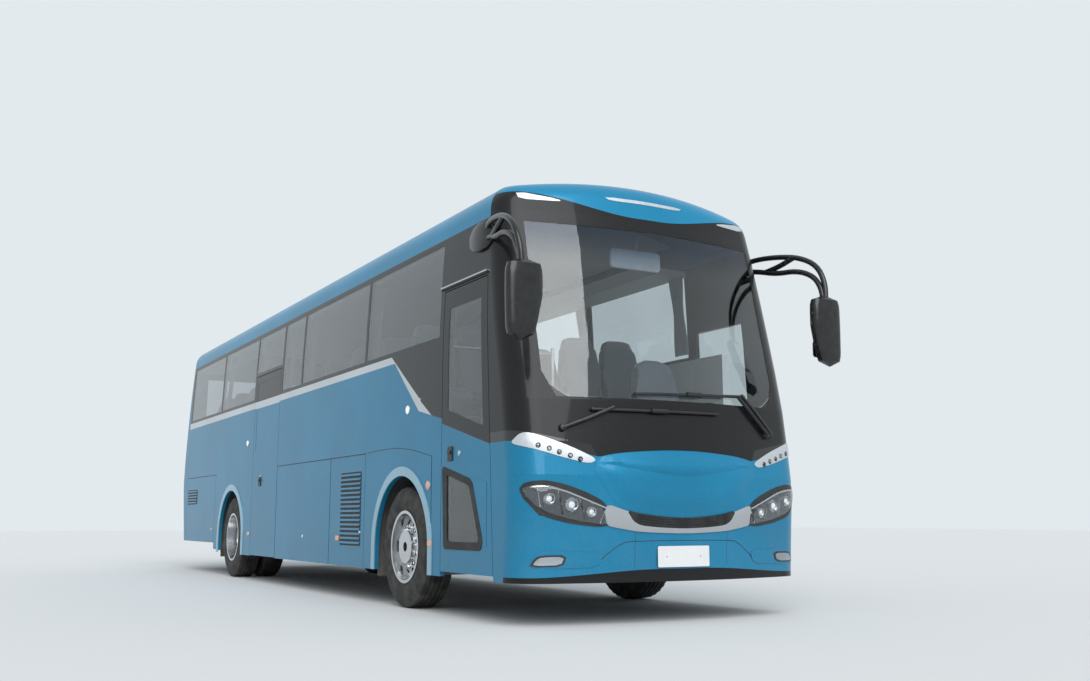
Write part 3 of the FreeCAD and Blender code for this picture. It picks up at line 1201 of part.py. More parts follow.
def mirrors():
    """The two outside mirrors, each a tall head hung from a bowed arm on the pillar."""
    heads = []
    nose = end_form(0.0)
    tip_x = NOSE_X + MIRROR_REACH
    for side in SIDES.values():
        head_x = tip_x - MIRROR_HEAD_DEPTH - MIRROR_ARM_RADIUS
        head = bounds_box(head_x - MIRROR_HEAD_DEPTH, head_x, side * (MIRROR_HEAD_Y - MIRROR_HEAD_WIDTH / 2),
                          side * (MIRROR_HEAD_Y + MIRROR_HEAD_WIDTH / 2), MIRROR_HEAD_TOP - MIRROR_HEAD_HEIGHT,
                          MIRROR_HEAD_TOP)
        head = head.makeFillet(MIRROR_HEAD_DEPTH / 3, head.Edges)
        middle = head_x - MIRROR_HEAD_DEPTH / 2
        base = Vector(MIRROR_BASE_X, side * (HALF_WIDTH - 2 * WALL), MIRROR_BASE_HEIGHT)
        out = Vector(MIRROR_BASE_X + MIRROR_HEAD_WIDTH, side * MIRROR_HEAD_Y, MIRROR_BASE_HEIGHT + WALL)
        elbow = Vector(tip_x - MIRROR_ARM_RADIUS, side * (MIRROR_HEAD_Y + WALL / 2), MIRROR_BASE_HEIGHT)
        drop = Vector(middle, side * MIRROR_HEAD_Y, MIRROR_HEAD_TOP - WALL)
        arm = bar_through([base, out, elbow, drop], MIRROR_ARM_RADIUS).cut(nose)
        heads.append(fused([head, arm]))
    save("mirrors", heads)


WIPER_PIVOT_HEIGHT = 1400.0
WIPER_ARM = 10.0


def wipers():
    """The two wipers parked across the foot of the windscreen."""
    pieces = []
    form = open_form(0.0)
    outside = open_form(-2 * WIPER_ARM)
    for start, end in ((Vector(0, -980, WIPER_PIVOT_HEIGHT), Vector(0, 220, WIPER_PIVOT_HEIGHT + 300)),
                       (Vector(0, 880, WIPER_PIVOT_HEIGHT), Vector(0, -250, WIPER_PIVOT_HEIGHT + 380))):
        direction = Vector(0, start.z - end.z, end.y - start.y)
        direction.normalize()
        off = direction * WIPER_ARM
        points = [start + off, end + off, end - off, start - off]
        blade = prism([Vector(NOSE_SEAM_TOP_X, p.y, p.z) for p in points], Vector(BODY_LENGTH / 4, 0, 0))
        pieces.append(blade.common(outside).cut(form))
    save("wipers", pieces)


if __name__ == "__main__":
    os.makedirs("parts", exist_ok=True)
    side_panels()
    side_windows()
    rear_end()
    roof()
    roof_units()
    front_end()
    doors()
    luggage_flaps()
    arch_trim()
    wheels()
    axles()
    chassis()
    floors()
    bays()
    seats()
    dashboard()
    racks()
    engine()
    mirrors()
    wipers()
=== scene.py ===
"""Visual model of a touring coach: finishes for the solid nodes, and the pieces that are built here around them.

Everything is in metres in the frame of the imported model: +X forward, +Y to the coach's left, +Z up.
"""

import logging
import math
from dataclasses import dataclass, field
from enum import Enum

import bmesh
import bpy
from mathutils import Matrix, Vector
from mathutils.bvhtree import BVHTree
from mathutils.geometry import delaunay_2d_cdt


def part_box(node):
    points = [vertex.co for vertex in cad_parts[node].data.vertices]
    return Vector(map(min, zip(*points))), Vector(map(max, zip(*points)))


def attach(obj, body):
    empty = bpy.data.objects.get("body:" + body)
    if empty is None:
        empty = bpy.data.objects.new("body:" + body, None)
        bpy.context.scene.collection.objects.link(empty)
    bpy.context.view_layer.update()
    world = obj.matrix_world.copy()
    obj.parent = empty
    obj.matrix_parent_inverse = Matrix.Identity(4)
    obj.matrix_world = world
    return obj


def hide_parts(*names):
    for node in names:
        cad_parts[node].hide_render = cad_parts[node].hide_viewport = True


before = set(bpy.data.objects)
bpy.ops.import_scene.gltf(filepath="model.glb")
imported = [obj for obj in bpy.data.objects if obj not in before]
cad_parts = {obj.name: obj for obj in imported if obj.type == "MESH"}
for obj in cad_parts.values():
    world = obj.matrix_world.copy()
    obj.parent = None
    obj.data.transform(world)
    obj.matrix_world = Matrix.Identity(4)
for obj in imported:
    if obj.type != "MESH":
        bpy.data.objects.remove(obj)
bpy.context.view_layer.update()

LOG = logging.getLogger("coach")
MM = 0.001
WELD, LEAST_RADIUS = 0.01 * MM, 0.05 * MM
SHARP = math.radians(35)
BODY = "coach_body"
COPY_SEED = 7
# Where rays that look for a surface start: beyond either end, and beyond either flank
FAR_END, FAR_SIDE = 7.0, 3.0

Colour = tuple[float, float, float, float]
Point = tuple[float, float, float]
Spot = tuple[float, float]
Span = tuple[float, float]
Outline = tuple[Spot, ...]
Mesh = bmesh.types.BMesh
Hit = tuple[Vector, Vector]
Item = bpy.types.Object
Socket = bpy.types.NodeSocket

UP = Vector((0, 0, 1))
QUARTER_TURN = Matrix.Rotation(math.radians(90), 3, "Z")


class Side(Enum):
    """The two sides of the coach, as the sign of Y."""

    LEFT = 1
    RIGHT = -1


class Weave(Enum):
    """The ways in which the cloths aboard are made."""

    MOQUETTE = "cut pile over a woven ground"
    DRAPE = "plain weave"


class Dust(Enum):
    """How much road dust a finish carries near the ground."""

    NONE = 0.0
    LIGHT = 0.08
    HEAVY = 0.5


# Colour and node helpers

# Kinds of shader node, and the settings of the two that are used most
MATH, MIX, RANGE, BUMP = "ShaderNodeMath", "ShaderNodeMix", "ShaderNodeMapRange", "ShaderNodeBump"
CLOUDS, CELLS, WAVES = "ShaderNodeTexNoise", "ShaderNodeTexVoronoi", "ShaderNodeTexWave"
SMOOTH = {"interpolation_type": "SMOOTHSTEP"}
RGBA = {"data_type": "RGBA"}


def linear(code: str) -> Colour:
    """Turns an sRGB colour into the linear one that shaders use.

    Args:
        code: six hex digits.

    Returns:
        Red, green, blue and an alpha of one.
    """
    channels = [int(code[place:place + 2], 16) / 255 for place in (0, 2, 4)]
    red, green, blue = (c / 12.92 if c <= 0.04045 else ((c + 0.055) / 1.055) ** 2.4 for c in channels)
    return red, green, blue, 1.0


def wire(node: bpy.types.Node, inputs: dict) -> None:
    """Sets a node's inputs, or links them where the value is another node's socket.

    Args:
        node: the node.
        inputs: a value or an output socket by input name or number.
    """
    for key, value in inputs.items():
        if isinstance(value, Socket):
            node.id_data.links.new(value, node.inputs[key])
        else:
            node.inputs[key].default_value = value


def put(tree: bpy.types.NodeTree, kind: str, inputs: dict | tuple = (), out: int | str = 0,
        **options: object) -> Socket | None:
    """Adds a node with its settings and links.

    Args:
        tree: the node tree that it goes into.
        kind: the node's type identifier.
        inputs: a value or an output socket for each input, in their order, or by name or number.
        out: the output that is wanted, by name or number.
        options: the node's own properties.

    Returns:
        The wanted output's socket, or None where the node has no output.
    """
    node = tree.nodes.new(kind)
    for name, value in options.items():
        setattr(node, name, value)
    wire(node, inputs if isinstance(inputs, dict) else dict(enumerate(inputs)))
    return node.outputs[out] if len(node.outputs) else None


class Mixture:
    """A material's nodes while its finish is mixed: the tree, the shader, and each point's place in metres."""

    def __init__(self, material: bpy.types.Material) -> None:
        """Finds the shader, and adds the Object coordinates, whole and along each axis.

        Args:
            material: the new material.
        """
        material.use_nodes = True
        self.tree = material.node_tree
        self.shader = self.tree.nodes["Principled BSDF"]
        self.place = self.add("ShaderNodeTexCoord", out="Object")
        self.x, self.y, self.z = self.add("ShaderNodeSeparateXYZ", (self.place,)).node.outputs

    def add(self, kind: str, inputs: dict | tuple = (), out: int | str = 0, **options: object) -> Socket:
        """Adds a node to this material, as put does."""
        return put(self.tree, kind, inputs, out, **options)

    def pattern(self, kind: str, grain_mm: float, **inputs: float) -> Socket:
        """Adds a texture that lies in the coach's own metres.

        Args:
            kind: the texture's type identifier.
            grain_mm: the size of one cloud or cell in millimetres.
            inputs: its other inputs by name.

        Returns:
            The pattern's value.
        """
        return self.add(kind, {"Vector": self.place, "Scale": 1 / (grain_mm * MM), **inputs})

    def tinted(self, colour: object, pattern: Socket, span: Span, shares: Span,
               other: str) -> Socket:
        """Lays a second colour over a first one by a pattern.

        Args:
            colour: the first colour, or its socket.
            pattern: the pattern's value.
            span: the two values between which the second colour's share changes.
            shares: its share at each of them.
            other: the second colour, as six hex digits.

        Returns:
            The mixed colour's socket.
        """
        share = self.add(RANGE, (pattern, *span, *shares), **SMOOTH)
        return self.add(MIX, {0: share, 6: colour, 7: linear(other)}, 2, **RGBA)

    def shade(self, inputs: dict[str, object]) -> None:
        """Sets or links the shader's own inputs."""
        wire(self.shader, inputs)

    def painted(self) -> Socket:
        """Returns the socket that colours the shader so far."""
        return self.shader.inputs["Base Color"].links[0].from_socket


# Finishes


@dataclass(frozen=True)
class Finish:
    """What a surface is made of: its name, colour, gloss and the record's slot that it belongs to."""

    name: str
    colour: str
    roughness: float
    slot: str
    dust: Dust = Dust.NONE

    def material(self) -> bpy.types.Material:
        """Builds this finish's material the first time that it is asked for.

        Returns:
            The material.
        """
        known = bpy.data.materials.get(self.name)
        if known:
            return known
        material = bpy.data.materials.new(self.name)
        mix = Mixture(material)
        mix.shade({"Base Color": linear(self.colour), "Roughness": self.roughness})
        self.dress(mix)
        return material

    def dress(self, mix: Mixture) -> None:
        """Adds the pattern, relief and shine of this finish to the shader."""
        raise NotImplementedError(self.name)

    def dusted(self, mix: Mixture, colour: object) -> object:
        """Lays road dust over a colour, thickest near the ground and broken up by clouds.

        Args:
            mix: the material's nodes.
            colour: the clean colour, or its socket.

        Returns:
            The colour's socket, or the colour itself where this finish stays clean.
        """
        if self.dust is Dust.NONE:
            return colour
        low = mix.add(RANGE, (mix.z, 0.25, 1.15, self.dust.value, 0.04 * self.dust.value), **SMOOTH)
        clouds = mix.pattern(CLOUDS, 180, Detail=6.0)
        broken = mix.add(RANGE, (clouds, 0.3, 0.7, 0.35, 1.0), **SMOOTH)
        share = mix.add(MATH, (low, broken), operation="MULTIPLY")
        return mix.add(MIX, {0: share, 6: colour, 7: linear("8C867B")}, 2, **RGBA)


@dataclass(frozen=True)
class CoachPaint(Finish):
    """Sprayed two-layer coach enamel: flake base coat under clear lacquer, with a faint orange peel."""

    flake: str = "FFFFFF"
    flake_share: float = 0.16
    metallic: float = 0.2
    lacquer: float = 0.22
    dust: Dust = Dust.LIGHT

    def dress(self, mix: Mixture) -> None:
        """Adds aluminium flakes, a slow drift of tone, lacquer and its orange peel.

        Args:
            mix: the material's nodes.
        """
        # Real flakes are 0.05 mm across: drawn at 3 mm, so that their sparkle still shows in the picture
        flakes = mix.pattern(CELLS, 3).node.outputs["Color"]
        sparkle = mix.add("ShaderNodeSeparateColor", (flakes,))
        coloured = mix.tinted(linear(self.colour), sparkle, (0.35, 1.0), (0.0, self.flake_share), self.flake)
        clouds = mix.pattern(CLOUDS, 900, Detail=2.0)
        toned = mix.tinted(coloured, clouds, (0.3, 0.7), (0.0, 0.12), "10161C")
        peel = mix.pattern(CLOUDS, 9, Detail=1.0)
        bump = mix.add(BUMP, {"Height": peel, "Strength": 0.25, "Distance": 0.05 * MM})
        mix.shade({"Base Color": self.dusted(mix, toned), "Metallic": self.metallic, "Coat Weight": self.lacquer,
                   "Coat Roughness": 0.03, "Coat IOR": 1.5, "Specular IOR Level": 0.2, "Coat Normal": bump})


@dataclass(frozen=True)
class Plastic(Finish):
    """Injection moulded ABS with the grain of its tool."""

    grain_mm: float = 3.0
    grain_depth_mm: float = 0.15

    def dress(self, mix: Mixture) -> None:
        """Adds the grain, its change of gloss and dust.

        Args:
            mix: the material's nodes.
        """
        cells = mix.add(CELLS, {"Vector": mix.place, "Scale": 1 / (self.grain_mm * MM)}, feature="SMOOTH_F1")
        haze = mix.pattern(CLOUDS, 60, Detail=4.0)
        pale = mix.tinted(linear(self.colour), haze, (0.25, 0.75), (0.0, 0.06), "6B6D70")
        wear = mix.pattern(CLOUDS, 25, Detail=3.0)
        gloss = mix.add(RANGE, (wear, 0.2, 0.8, 0.85 * self.roughness, min(1.0, 1.15 * self.roughness)), **SMOOTH)
        bump = mix.add(BUMP, {"Height": cells, "Strength": 0.5, "Distance": self.grain_depth_mm * MM})
        mix.shade({"Base Color": self.dusted(mix, pale), "Roughness": gloss, "Normal": bump})


@dataclass(frozen=True)
class Metal(Finish):
    """A metal: polished, brushed, plated or cast, by its grain and its stretch along one axis."""

    grain_mm: float = 4.0
    stretch: Point = (1.0, 1.0, 1.0)
    depth_mm: float = 0.02
    metallic: float = 1.0
    stain_share: float = 0.12

    def dress(self, mix: Mixture) -> None:
        """Adds brush lines or cast grain, haze in the gloss and a little stain.

        Args:
            mix: the material's nodes.
        """
        stretched = mix.add("ShaderNodeMapping", {"Vector": mix.place, "Scale": self.stretch})
        lines = mix.add(CLOUDS, {"Vector": stretched, "Scale": 1 / (self.grain_mm * MM), "Detail": 4.0})
        haze = mix.pattern(CLOUDS, 120, Detail=4.0)
        brushed = mix.add(RANGE, (lines, 0.3, 0.7, 0.8 * self.roughness, 1.2 * self.roughness), **SMOOTH)
        hazed = mix.add(RANGE, (haze, 0.4, 0.9, 0.0, 0.12), **SMOOTH)
        stained = mix.tinted(linear(self.colour), haze, (0.45, 0.85), (0.0, self.stain_share), "5A5148")
        mix.shade({"Base Color": self.dusted(mix, stained), "Metallic": self.metallic,
                   "Roughness": mix.add(MATH, (brushed, hazed), operation="ADD"),
                   "Normal": mix.add(BUMP, {"Height": lines, "Strength": 0.3, "Distance": self.depth_mm * MM})})


@dataclass(frozen=True)
class Glazing(Finish):
    """Toughened float glass, tinted in the mass, with a rain-marked outside and, where it has one, a fired frit."""

    frit_below: float = 0.0
    frit_above: float = 0.0
    frit_rise: float = 0.27
    band_above: float = 0.0

    def dress(self, mix: Mixture) -> None:
        """Adds the tint, the frit along its edges, a sun band at the top and dried rain.

        Args:
            mix: the material's nodes.
        """
        rain = mix.pattern(CLOUDS, 35, Detail=5.0)
        marks = mix.add(RANGE, (rain, 0.55, 0.85, self.roughness, self.roughness + 0.03), **SMOOTH)
        colour: object = linear(self.colour)
        if self.band_above:
            colour = mix.tinted(colour, mix.z, (self.band_above, self.band_above + 0.35), (0.0, 0.85), "2E6FA0")
        film = mix.pattern(CLOUDS, 400, Detail=5.0)
        colour = mix.tinted(colour, film, (0.35, 0.75), (0.0, 0.05), "8E9499")
        clear: object = 1.0
        if self.frit_below:
            spread = mix.add(MATH, (mix.y,), operation="ABSOLUTE")
            edge = mix.add(RANGE, (spread, 0.80, 1.29, self.frit_below, self.frit_below + self.frit_rise), **SMOOTH)
            height = mix.add(MATH, (mix.z, edge), operation="SUBTRACT")
            under = mix.add(RANGE, (height, 0.0, 0.012, 1.0, 0.0), **SMOOTH)
            over = mix.add(RANGE, (mix.z, self.frit_above, self.frit_above + 0.012), **SMOOTH)
            frit = mix.add(MATH, (under, over), operation="MAXIMUM")
            colour = mix.add(MIX, {0: frit, 6: colour, 7: linear("0B0C0E")}, 2, **RGBA)
            clear = mix.add(MATH, (1.0, frit), operation="SUBTRACT")
        mix.shade({"Base Color": colour, "Roughness": marks, "IOR": 1.5, "Transmission Weight": clear})


@dataclass(frozen=True)
class LampLens(Finish):
    """Moulded polycarbonate lens with fine optic flutes."""

    flute_mm: float = 12.0

    def dress(self, mix: Mixture) -> None:
        """Adds the clear body, the flutes and a trace of haze.

        Args:
            mix: the material's nodes.
        """
        haze = mix.pattern(CLOUDS, 50, Detail=4.0)
        gloss = mix.add(RANGE, (haze, 0.5, 0.9, self.roughness, self.roughness + 0.05), **SMOOTH)
        age = mix.pattern(CLOUDS, 200, Detail=3.0)
        tone = mix.tinted(linear(self.colour), age, (0.3, 0.8), (0.0, 0.15), "C9D2D6")
        flutes = mix.add(WAVES, {"Vector": mix.place, "Scale": 1 / (self.flute_mm * MM) / math.tau, "Distortion": 0.0},
                         "Fac", bands_direction="Y")
        mix.shade({"Base Color": tone, "Roughness": gloss, "IOR": 1.58, "Transmission Weight": 1.0,
                   "Normal": mix.add(BUMP, {"Height": flutes, "Strength": 0.25, "Distance": 0.2 * MM})})


@dataclass(frozen=True)
class LensSet(LampLens):
    """The lenses of one moulding order: clear ahead, amber on the flanks, black backed beside the corner panels."""

    flank_y: float = 1.2745
    marker_low: float = 1.10
    marker_high: float = 1.37
    marker_x: float = 5.10

    def dress(self, mix: Mixture) -> None:
        """Adds the clear lens, then tells the flank and marker lenses apart by where they are.

        Args:
            mix: the material's nodes.
        """
        super().dress(mix)
        spread = mix.add(MATH, (mix.y,), operation="ABSOLUTE")
        wide = mix.add(MATH, (spread, self.flank_y), operation="GREATER_THAN")
        behind = mix.add(MATH, (mix.x, self.marker_x), operation="LESS_THAN")
        above = mix.add(MATH, (mix.z, self.marker_low), operation="GREATER_THAN")
        below = mix.add(MATH, (mix.z, self.marker_high), operation="LESS_THAN")
        marker = mix.add(MATH, (above, below), operation="MULTIPLY")
        outside = mix.add(MATH, (wide, behind), operation="MULTIPLY")
        flank = mix.add(MATH, (outside, mix.add(MATH, (1.0, marker), operation="SUBTRACT")), operation="MULTIPLY")
        tinted = mix.add(MIX, {0: flank, 6: mix.painted(), 7: linear("F0981E")}, 2, **RGBA)
        milky = mix.add(MATH, (flank, 0.45), operation="MULTIPLY")
        opaque = mix.add(MATH, (marker, milky), operation="MAXIMUM")
        mix.shade({"Base Color": mix.add(MIX, {0: marker, 6: tinted, 7: linear("1B1C1E")}, 2, **RGBA),
                   "Transmission Weight": mix.add(MATH, (1.0, opaque), operation="SUBTRACT")})


@dataclass(frozen=True)
class Glow(Finish):
    """A lit part of a lamp, glowing with its own light; on a reflector, which gives no light of its own, the glow is
    painted light that stands in for the light it sends back.
    """

    strength: float = 0.6

    def dress(self, mix: Mixture) -> None:
        """Adds the chip pattern of the emitters and their own light.

        Args:
            mix: the material's nodes.
        """
        chips = mix.pattern(CELLS, 9)
        mix.shade({"Base Color": mix.tinted(linear(self.colour), chips, (0.1, 0.6), (0.0, 0.5), "B9C0C6"),
                   "Emission Color": linear(self.colour), "Emission Strength": self.strength})


@dataclass(frozen=True)
class Rubber(Finish):
    """Vulcanised rubber: matt, faintly chalky, with fine pores."""

    def dress(self, mix: Mixture) -> None:
        """Adds pores, bloom and dust.

        Args:
            mix: the material's nodes.
        """
        clouds = mix.pattern(CLOUDS, 70, Detail=5.0)
        chalky = mix.tinted(linear(self.colour), clouds, (0.35, 0.8), (0.0, 0.35), "4B4A48")
        pores = mix.pattern(CLOUDS, 4, Detail=4.0)
        mix.shade({"Base Color": self.dusted(mix, chalky),
                   "Normal": mix.add(BUMP, {"Height": pores, "Strength": 0.4, "Distance": 0.3 * MM})})


@dataclass(frozen=True)
class TyreRubber(Finish):
    """Tyre compound with moulded sidewall ribs and a dusted tread, patterned along the tyre's own unwrapping."""

    def dress(self, mix: Mixture) -> None:
        """Adds radial ribs on the sidewalls, pores and the grey of dry road dust.

        Args:
            mix: the material's nodes.
        """
        unwrapped = mix.add("ShaderNodeTexCoord", out="UV")
        ribs = mix.add(WAVES, {"Vector": unwrapped, "Scale": 60.0, "Distortion": 0.4}, "Fac", bands_direction="X")
        clouds = mix.pattern(CLOUDS, 90, Detail=5.0)
        pores = mix.pattern(CLOUDS, 6, Detail=4.0)
        height = mix.add(MATH, (ribs, 0.35, pores), operation="MULTIPLY_ADD")
        mix.shade({"Base Color": mix.tinted(linear(self.colour), clouds, (0.3, 0.75), (0.05, 0.5), "5C5954"),
                   "Normal": mix.add(BUMP, {"Height": height, "Strength": 0.35, "Distance": 0.5 * MM})})


@dataclass(frozen=True)
class Cloth(Finish):
    """Woven cloth: seat moquette or a plain drape, by its weave and thread spacing."""

    weave: Weave = Weave.MOQUETTE
    thread_mm: float = 4.0
    fleck: str = "8FA3BF"

    def dress(self, mix: Mixture) -> None:
        """Adds warp and weft, flecks of a second yarn, painted shade in the hollows between the threads, and the sheen
        of the pile.

        Args:
            mix: the material's nodes.
        """
        # Real threads are 0.8 mm apart: drawn at thread_mm, so that the weave shows from a few metres
        yarn = {"Vector": mix.place, "Scale": 1 / (self.thread_mm * MM) / math.tau, "Distortion": 0.6}
        warp, weft = (mix.add(WAVES, yarn, "Fac", bands_direction=way) for way in "YZ")
        woven = mix.add(MATH, (warp, weft), operation="MULTIPLY")
        cells = mix.pattern(CELLS, 28)
        most = 0.55 if self.weave is Weave.MOQUETTE else 0.08
        base = mix.tinted(linear(self.colour), cells, (0.12, 0.3), (most, 0.0), self.fleck)
        # Darker where the weave lies low: painted shade in the hollows between the threads
        mix.shade({"Base Color": mix.tinted(base, woven, (0.0, 1.0), (0.35, 0.0), "0C0F14"),
                   "Sheen Weight": 0.4, "Sheen Roughness": 0.5,
                   "Normal": mix.add(BUMP, {"Height": woven, "Strength": 0.5, "Distance": 0.5 * MM})})


@dataclass(frozen=True)
class Vinyl(Finish):
    """Sheet flooring or lining with a pebbled wear layer and flecks."""

    def dress(self, mix: Mixture) -> None:
        """Adds flecks, pebbling and scuffs.

        Args:
            mix: the material's nodes.
        """
        cells = mix.pattern(CELLS, 12)
        flecked = mix.tinted(linear(self.colour), cells, (0.1, 0.35), (0.2, 0.0), "8A8D90")
        scuffs = mix.pattern(CLOUDS, 150, Detail=4.0)
        gloss = mix.add(RANGE, (scuffs, 0.3, 0.8, 0.8 * self.roughness, min(1.0, 1.2 * self.roughness)), **SMOOTH)
        mix.shade({"Base Color": self.dusted(mix, flecked), "Roughness": gloss,
                   "Normal": mix.add(BUMP, {"Height": cells, "Strength": 0.4, "Distance": 0.2 * MM})})


@dataclass(frozen=True)
class ShadedLipPaint(CoachPaint):
    """The bumper's paint: body colour above, and near-black painted shade where the moulding turns under."""

    shaded_lip_top: float = 0.39
    shaded_lip_drop: float = 0.05

    def dress(self, mix: Mixture) -> None:
        """Adds the paint, then darkens its lower lip with painted shade.

        Args:
            mix: the material's nodes.
        """
        super().dress(mix)
        spread = mix.add(MATH, (mix.y,), operation="ABSOLUTE")
        edge = mix.add(RANGE, (spread, 0.2, 1.2, self.shaded_lip_top, self.shaded_lip_top - self.shaded_lip_drop), **SMOOTH)
        above = mix.add(MATH, (mix.z, edge), operation="SUBTRACT")
        # Near-black below a line that drops towards the corners: painted shade on the underside where the moulding
        # turns under
        mix.shade({"Base Color": mix.tinted(mix.painted(), above, (-0.002, 0.002), (1.0, 0.0), "17181A")})


@dataclass(frozen=True)
class CapPaint(CoachPaint):
    """The front cap's paint: body colour above a curved edge, and the dark band of the brow under it."""

    middle: float = 3.090
    corner: float = 3.225
    reach: Span = (0.10, 1.10)

    def dress(self, mix: Mixture) -> None:
        """Adds the paint, then the brow under the curve.

        Args:
            mix: the material's nodes.
        """
        super().dress(mix)
        spread = mix.add(MATH, (mix.y,), operation="ABSOLUTE")
        edge = mix.add(RANGE, (spread, *self.reach, self.middle, self.corner), **SMOOTH)
        above = mix.add(MATH, (mix.z, edge), operation="SUBTRACT")
        mix.shade({"Base Color": mix.tinted(mix.painted(), above, (-0.001, 0.001), (1.0, 0.0), BAND_DARK)})


@dataclass(frozen=True)
class BeltPaint(CoachPaint):
    """The belt's light paint, which tapers to the front door: ahead of it the dark band meets the body colour."""

    end_x: float = 3.990
    tip_start: float = 3.675
    tip_slope: float = -0.58
    tip_level: float = 1.538
    level: float = 1.532
    slope: float = -0.241
    lowest: float = 1.309

    def dress(self, mix: Mixture) -> None:
        """Adds the paint, then the two colours ahead of the belt's end, and the taper.

        Args:
            mix: the material's nodes.
        """
        super().dress(mix)
        run = mix.add(MATH, (mix.x, self.end_x), operation="SUBTRACT")
        sloping = mix.add(MATH, (run, self.slope, self.level), operation="MULTIPLY_ADD")
        line = mix.add(MATH, (sloping, self.lowest), operation="MAXIMUM")
        above = mix.add(MATH, (mix.z, line), operation="GREATER_THAN")
        other = mix.add(MIX, {0: above, 6: linear(BODY_BLUE), 7: linear(BAND_DARK)}, 2, **RGBA)
        taper = mix.add(MATH, (run, self.tip_slope, self.tip_level), operation="MULTIPLY_ADD")
        over = mix.add(MATH, (mix.z, taper), operation="GREATER_THAN")
        near = mix.add(MATH, (mix.x, self.tip_start), operation="GREATER_THAN")
        tip = mix.add(MATH, (over, near), operation="MULTIPLY")
        painted = mix.add(MIX, {0: tip, 6: mix.painted(), 7: linear(BAND_DARK)}, 2, **RGBA)
        ahead = mix.add(MATH, (mix.x, self.end_x), operation="GREATER_THAN")
        mix.shade({"Base Color": mix.add(MIX, {0: ahead, 6: painted, 7: other}, 2, **RGBA)})


@dataclass(frozen=True)
class DoorPaint(CoachPaint):
    """The doors' paint: body colour below, the light belt across, and the dark band above."""

    # Where the belt starts along X, its lower and upper edge there, and its slope
    belts: tuple[tuple[float, float, float, float], ...] = (
        (3.95, 1.540, 1.540, -0.241), (-1.82, 2.090, 2.175, 0.0))
    split_x: float = 1.5

    def dress(self, mix: Mixture) -> None:
        """Adds the paint, then the belt and the band, along the body's own lines.

        Args:
            mix: the material's nodes.
        """
        super().dress(mix)
        painted = mix.painted()
        ahead = mix.add(MATH, (mix.x, self.split_x), operation="GREATER_THAN")
        behind = mix.add(MATH, (1.0, ahead), operation="SUBTRACT")
        for (start_x, low, high, slope), near in zip(self.belts, (ahead, behind)):
            run = mix.add(MATH, (mix.x, start_x), operation="SUBTRACT")
            shift = mix.add(MATH, (run, slope), operation="MULTIPLY")
            level = mix.add(MATH, (mix.z, shift), operation="SUBTRACT")
            for edge, colour in ((low, BELT_LIGHT), (high, "1B1C1F")):
                above = mix.add(RANGE, (level, edge - 0.001, edge + 0.001), **SMOOTH)
                share = mix.add(MATH, (above, near), operation="MULTIPLY")
                painted = mix.add(MIX, {0: share, 6: painted, 7: linear(colour)}, 2, **RGBA)
        mix.shade({"Base Color": painted})


BODY_BLUE, ROOF_BLUE, FLAKE_BLUE = "08779F", "0A80AB", "4FB6D6"
BAND_DARK, BELT_LIGHT = "161719", "C4CBCF"

# Sprayed enamel: a deep, even colour with a fine sparkle in the sun, and a soft gloss over it
BLUE = CoachPaint("enamel_sprayed_blue", BODY_BLUE, 0.34, "body_blue", flake=FLAKE_BLUE)
BLUE_BUMPER = ShadedLipPaint("enamel_sprayed_blue_bumper", BODY_BLUE, 0.34, "body_blue", flake=FLAKE_BLUE)
BLUE_DOOR = DoorPaint("enamel_sprayed_blue_door", BODY_BLUE, 0.34, "body_blue", flake=FLAKE_BLUE)
BRONZE = CoachPaint("enamel_sprayed_bronze", BAND_DARK, 0.32, "band_dark", flake="6A665F", flake_share=0.06,
                    metallic=0.25)
STRIPE = BeltPaint("enamel_sprayed_light_grey", BELT_LIGHT, 0.30, "stripe_silver", metallic=0.25)
LIP = CoachPaint("enamel_sprayed_pale_blue", "8DB7CB", 0.30, "lip_silver", flake="DCEBF2", metallic=0.3)
ROOF = CoachPaint("enamel_sprayed_blue_roof", ROOF_BLUE, 0.34, "roof_plastic", flake=FLAKE_BLUE)
CAP = CapPaint("enamel_sprayed_cap", ROOF_BLUE, 0.34, "roof_plastic", flake=FLAKE_BLUE)
# Moulded ABS and other smooth sheet: a fine grain that breaks up the highlights
BLACK_ABS = Plastic("abs_moulded_black", "121315", 0.42, "black_plastic", dust=Dust.LIGHT)
CABIN_ABS = Plastic("abs_moulded_cabin_grey", "C2C5C7", 0.55, "interior_grey")
DASH_ABS = Plastic("abs_moulded_dashboard", "2B2D30", 0.6, "interior_grey")
GLOSS_ABS = Plastic("abs_moulded_gloss_black", "0D0E10", 0.22, "black_plastic", grain_mm=6, grain_depth_mm=0.02)
PLATE = Plastic("aluminium_enamelled_plate", "D9DADB", 0.45, "stripe_silver", grain_mm=6, grain_depth_mm=0.03)
LINING = Plastic("steel_lined_bay", "3A3C3F", 0.7, "bay_lining", grain_mm=8, dust=Dust.HEAVY)
# Plated, polished and brushed metal: sharp or drawn-out reflections with a little haze
CHROME = Metal("chrome_plated_trim", "BFC3C7", 0.06, "rail_metal", grain_mm=30, depth_mm=0.01, stain_share=0.04)
WHEEL = Metal("aluminium_polished_wheel", "C9CBCD", 0.20, "wheel_aluminium", grain_mm=6, stretch=(1.0, 6.0, 1.0),
              dust=Dust.LIGHT)
RAIL = Metal("steel_brushed_rail", "A9ABAD", 0.28, "rail_metal", grain_mm=2, stretch=(1, 1, 0.1))
REFLECTOR = Metal("abs_metallised_reflector", "A4A9AE", 0.16, "black_plastic", grain_mm=40)
SATIN = Metal("abs_satin_chromed", "C6CBCF", 0.42, "rail_metal", grain_mm=40, depth_mm=0.01, metallic=0.7)
BLACK_CHROME = Metal("abs_black_chromed", "4C5054", 0.12, "black_plastic", grain_mm=40, depth_mm=0.01)
MIRROR = Metal("glass_silvered_mirror", "E6E9EB", 0.02, "rail_metal", grain_mm=200, depth_mm=0.0, stain_share=0.02)
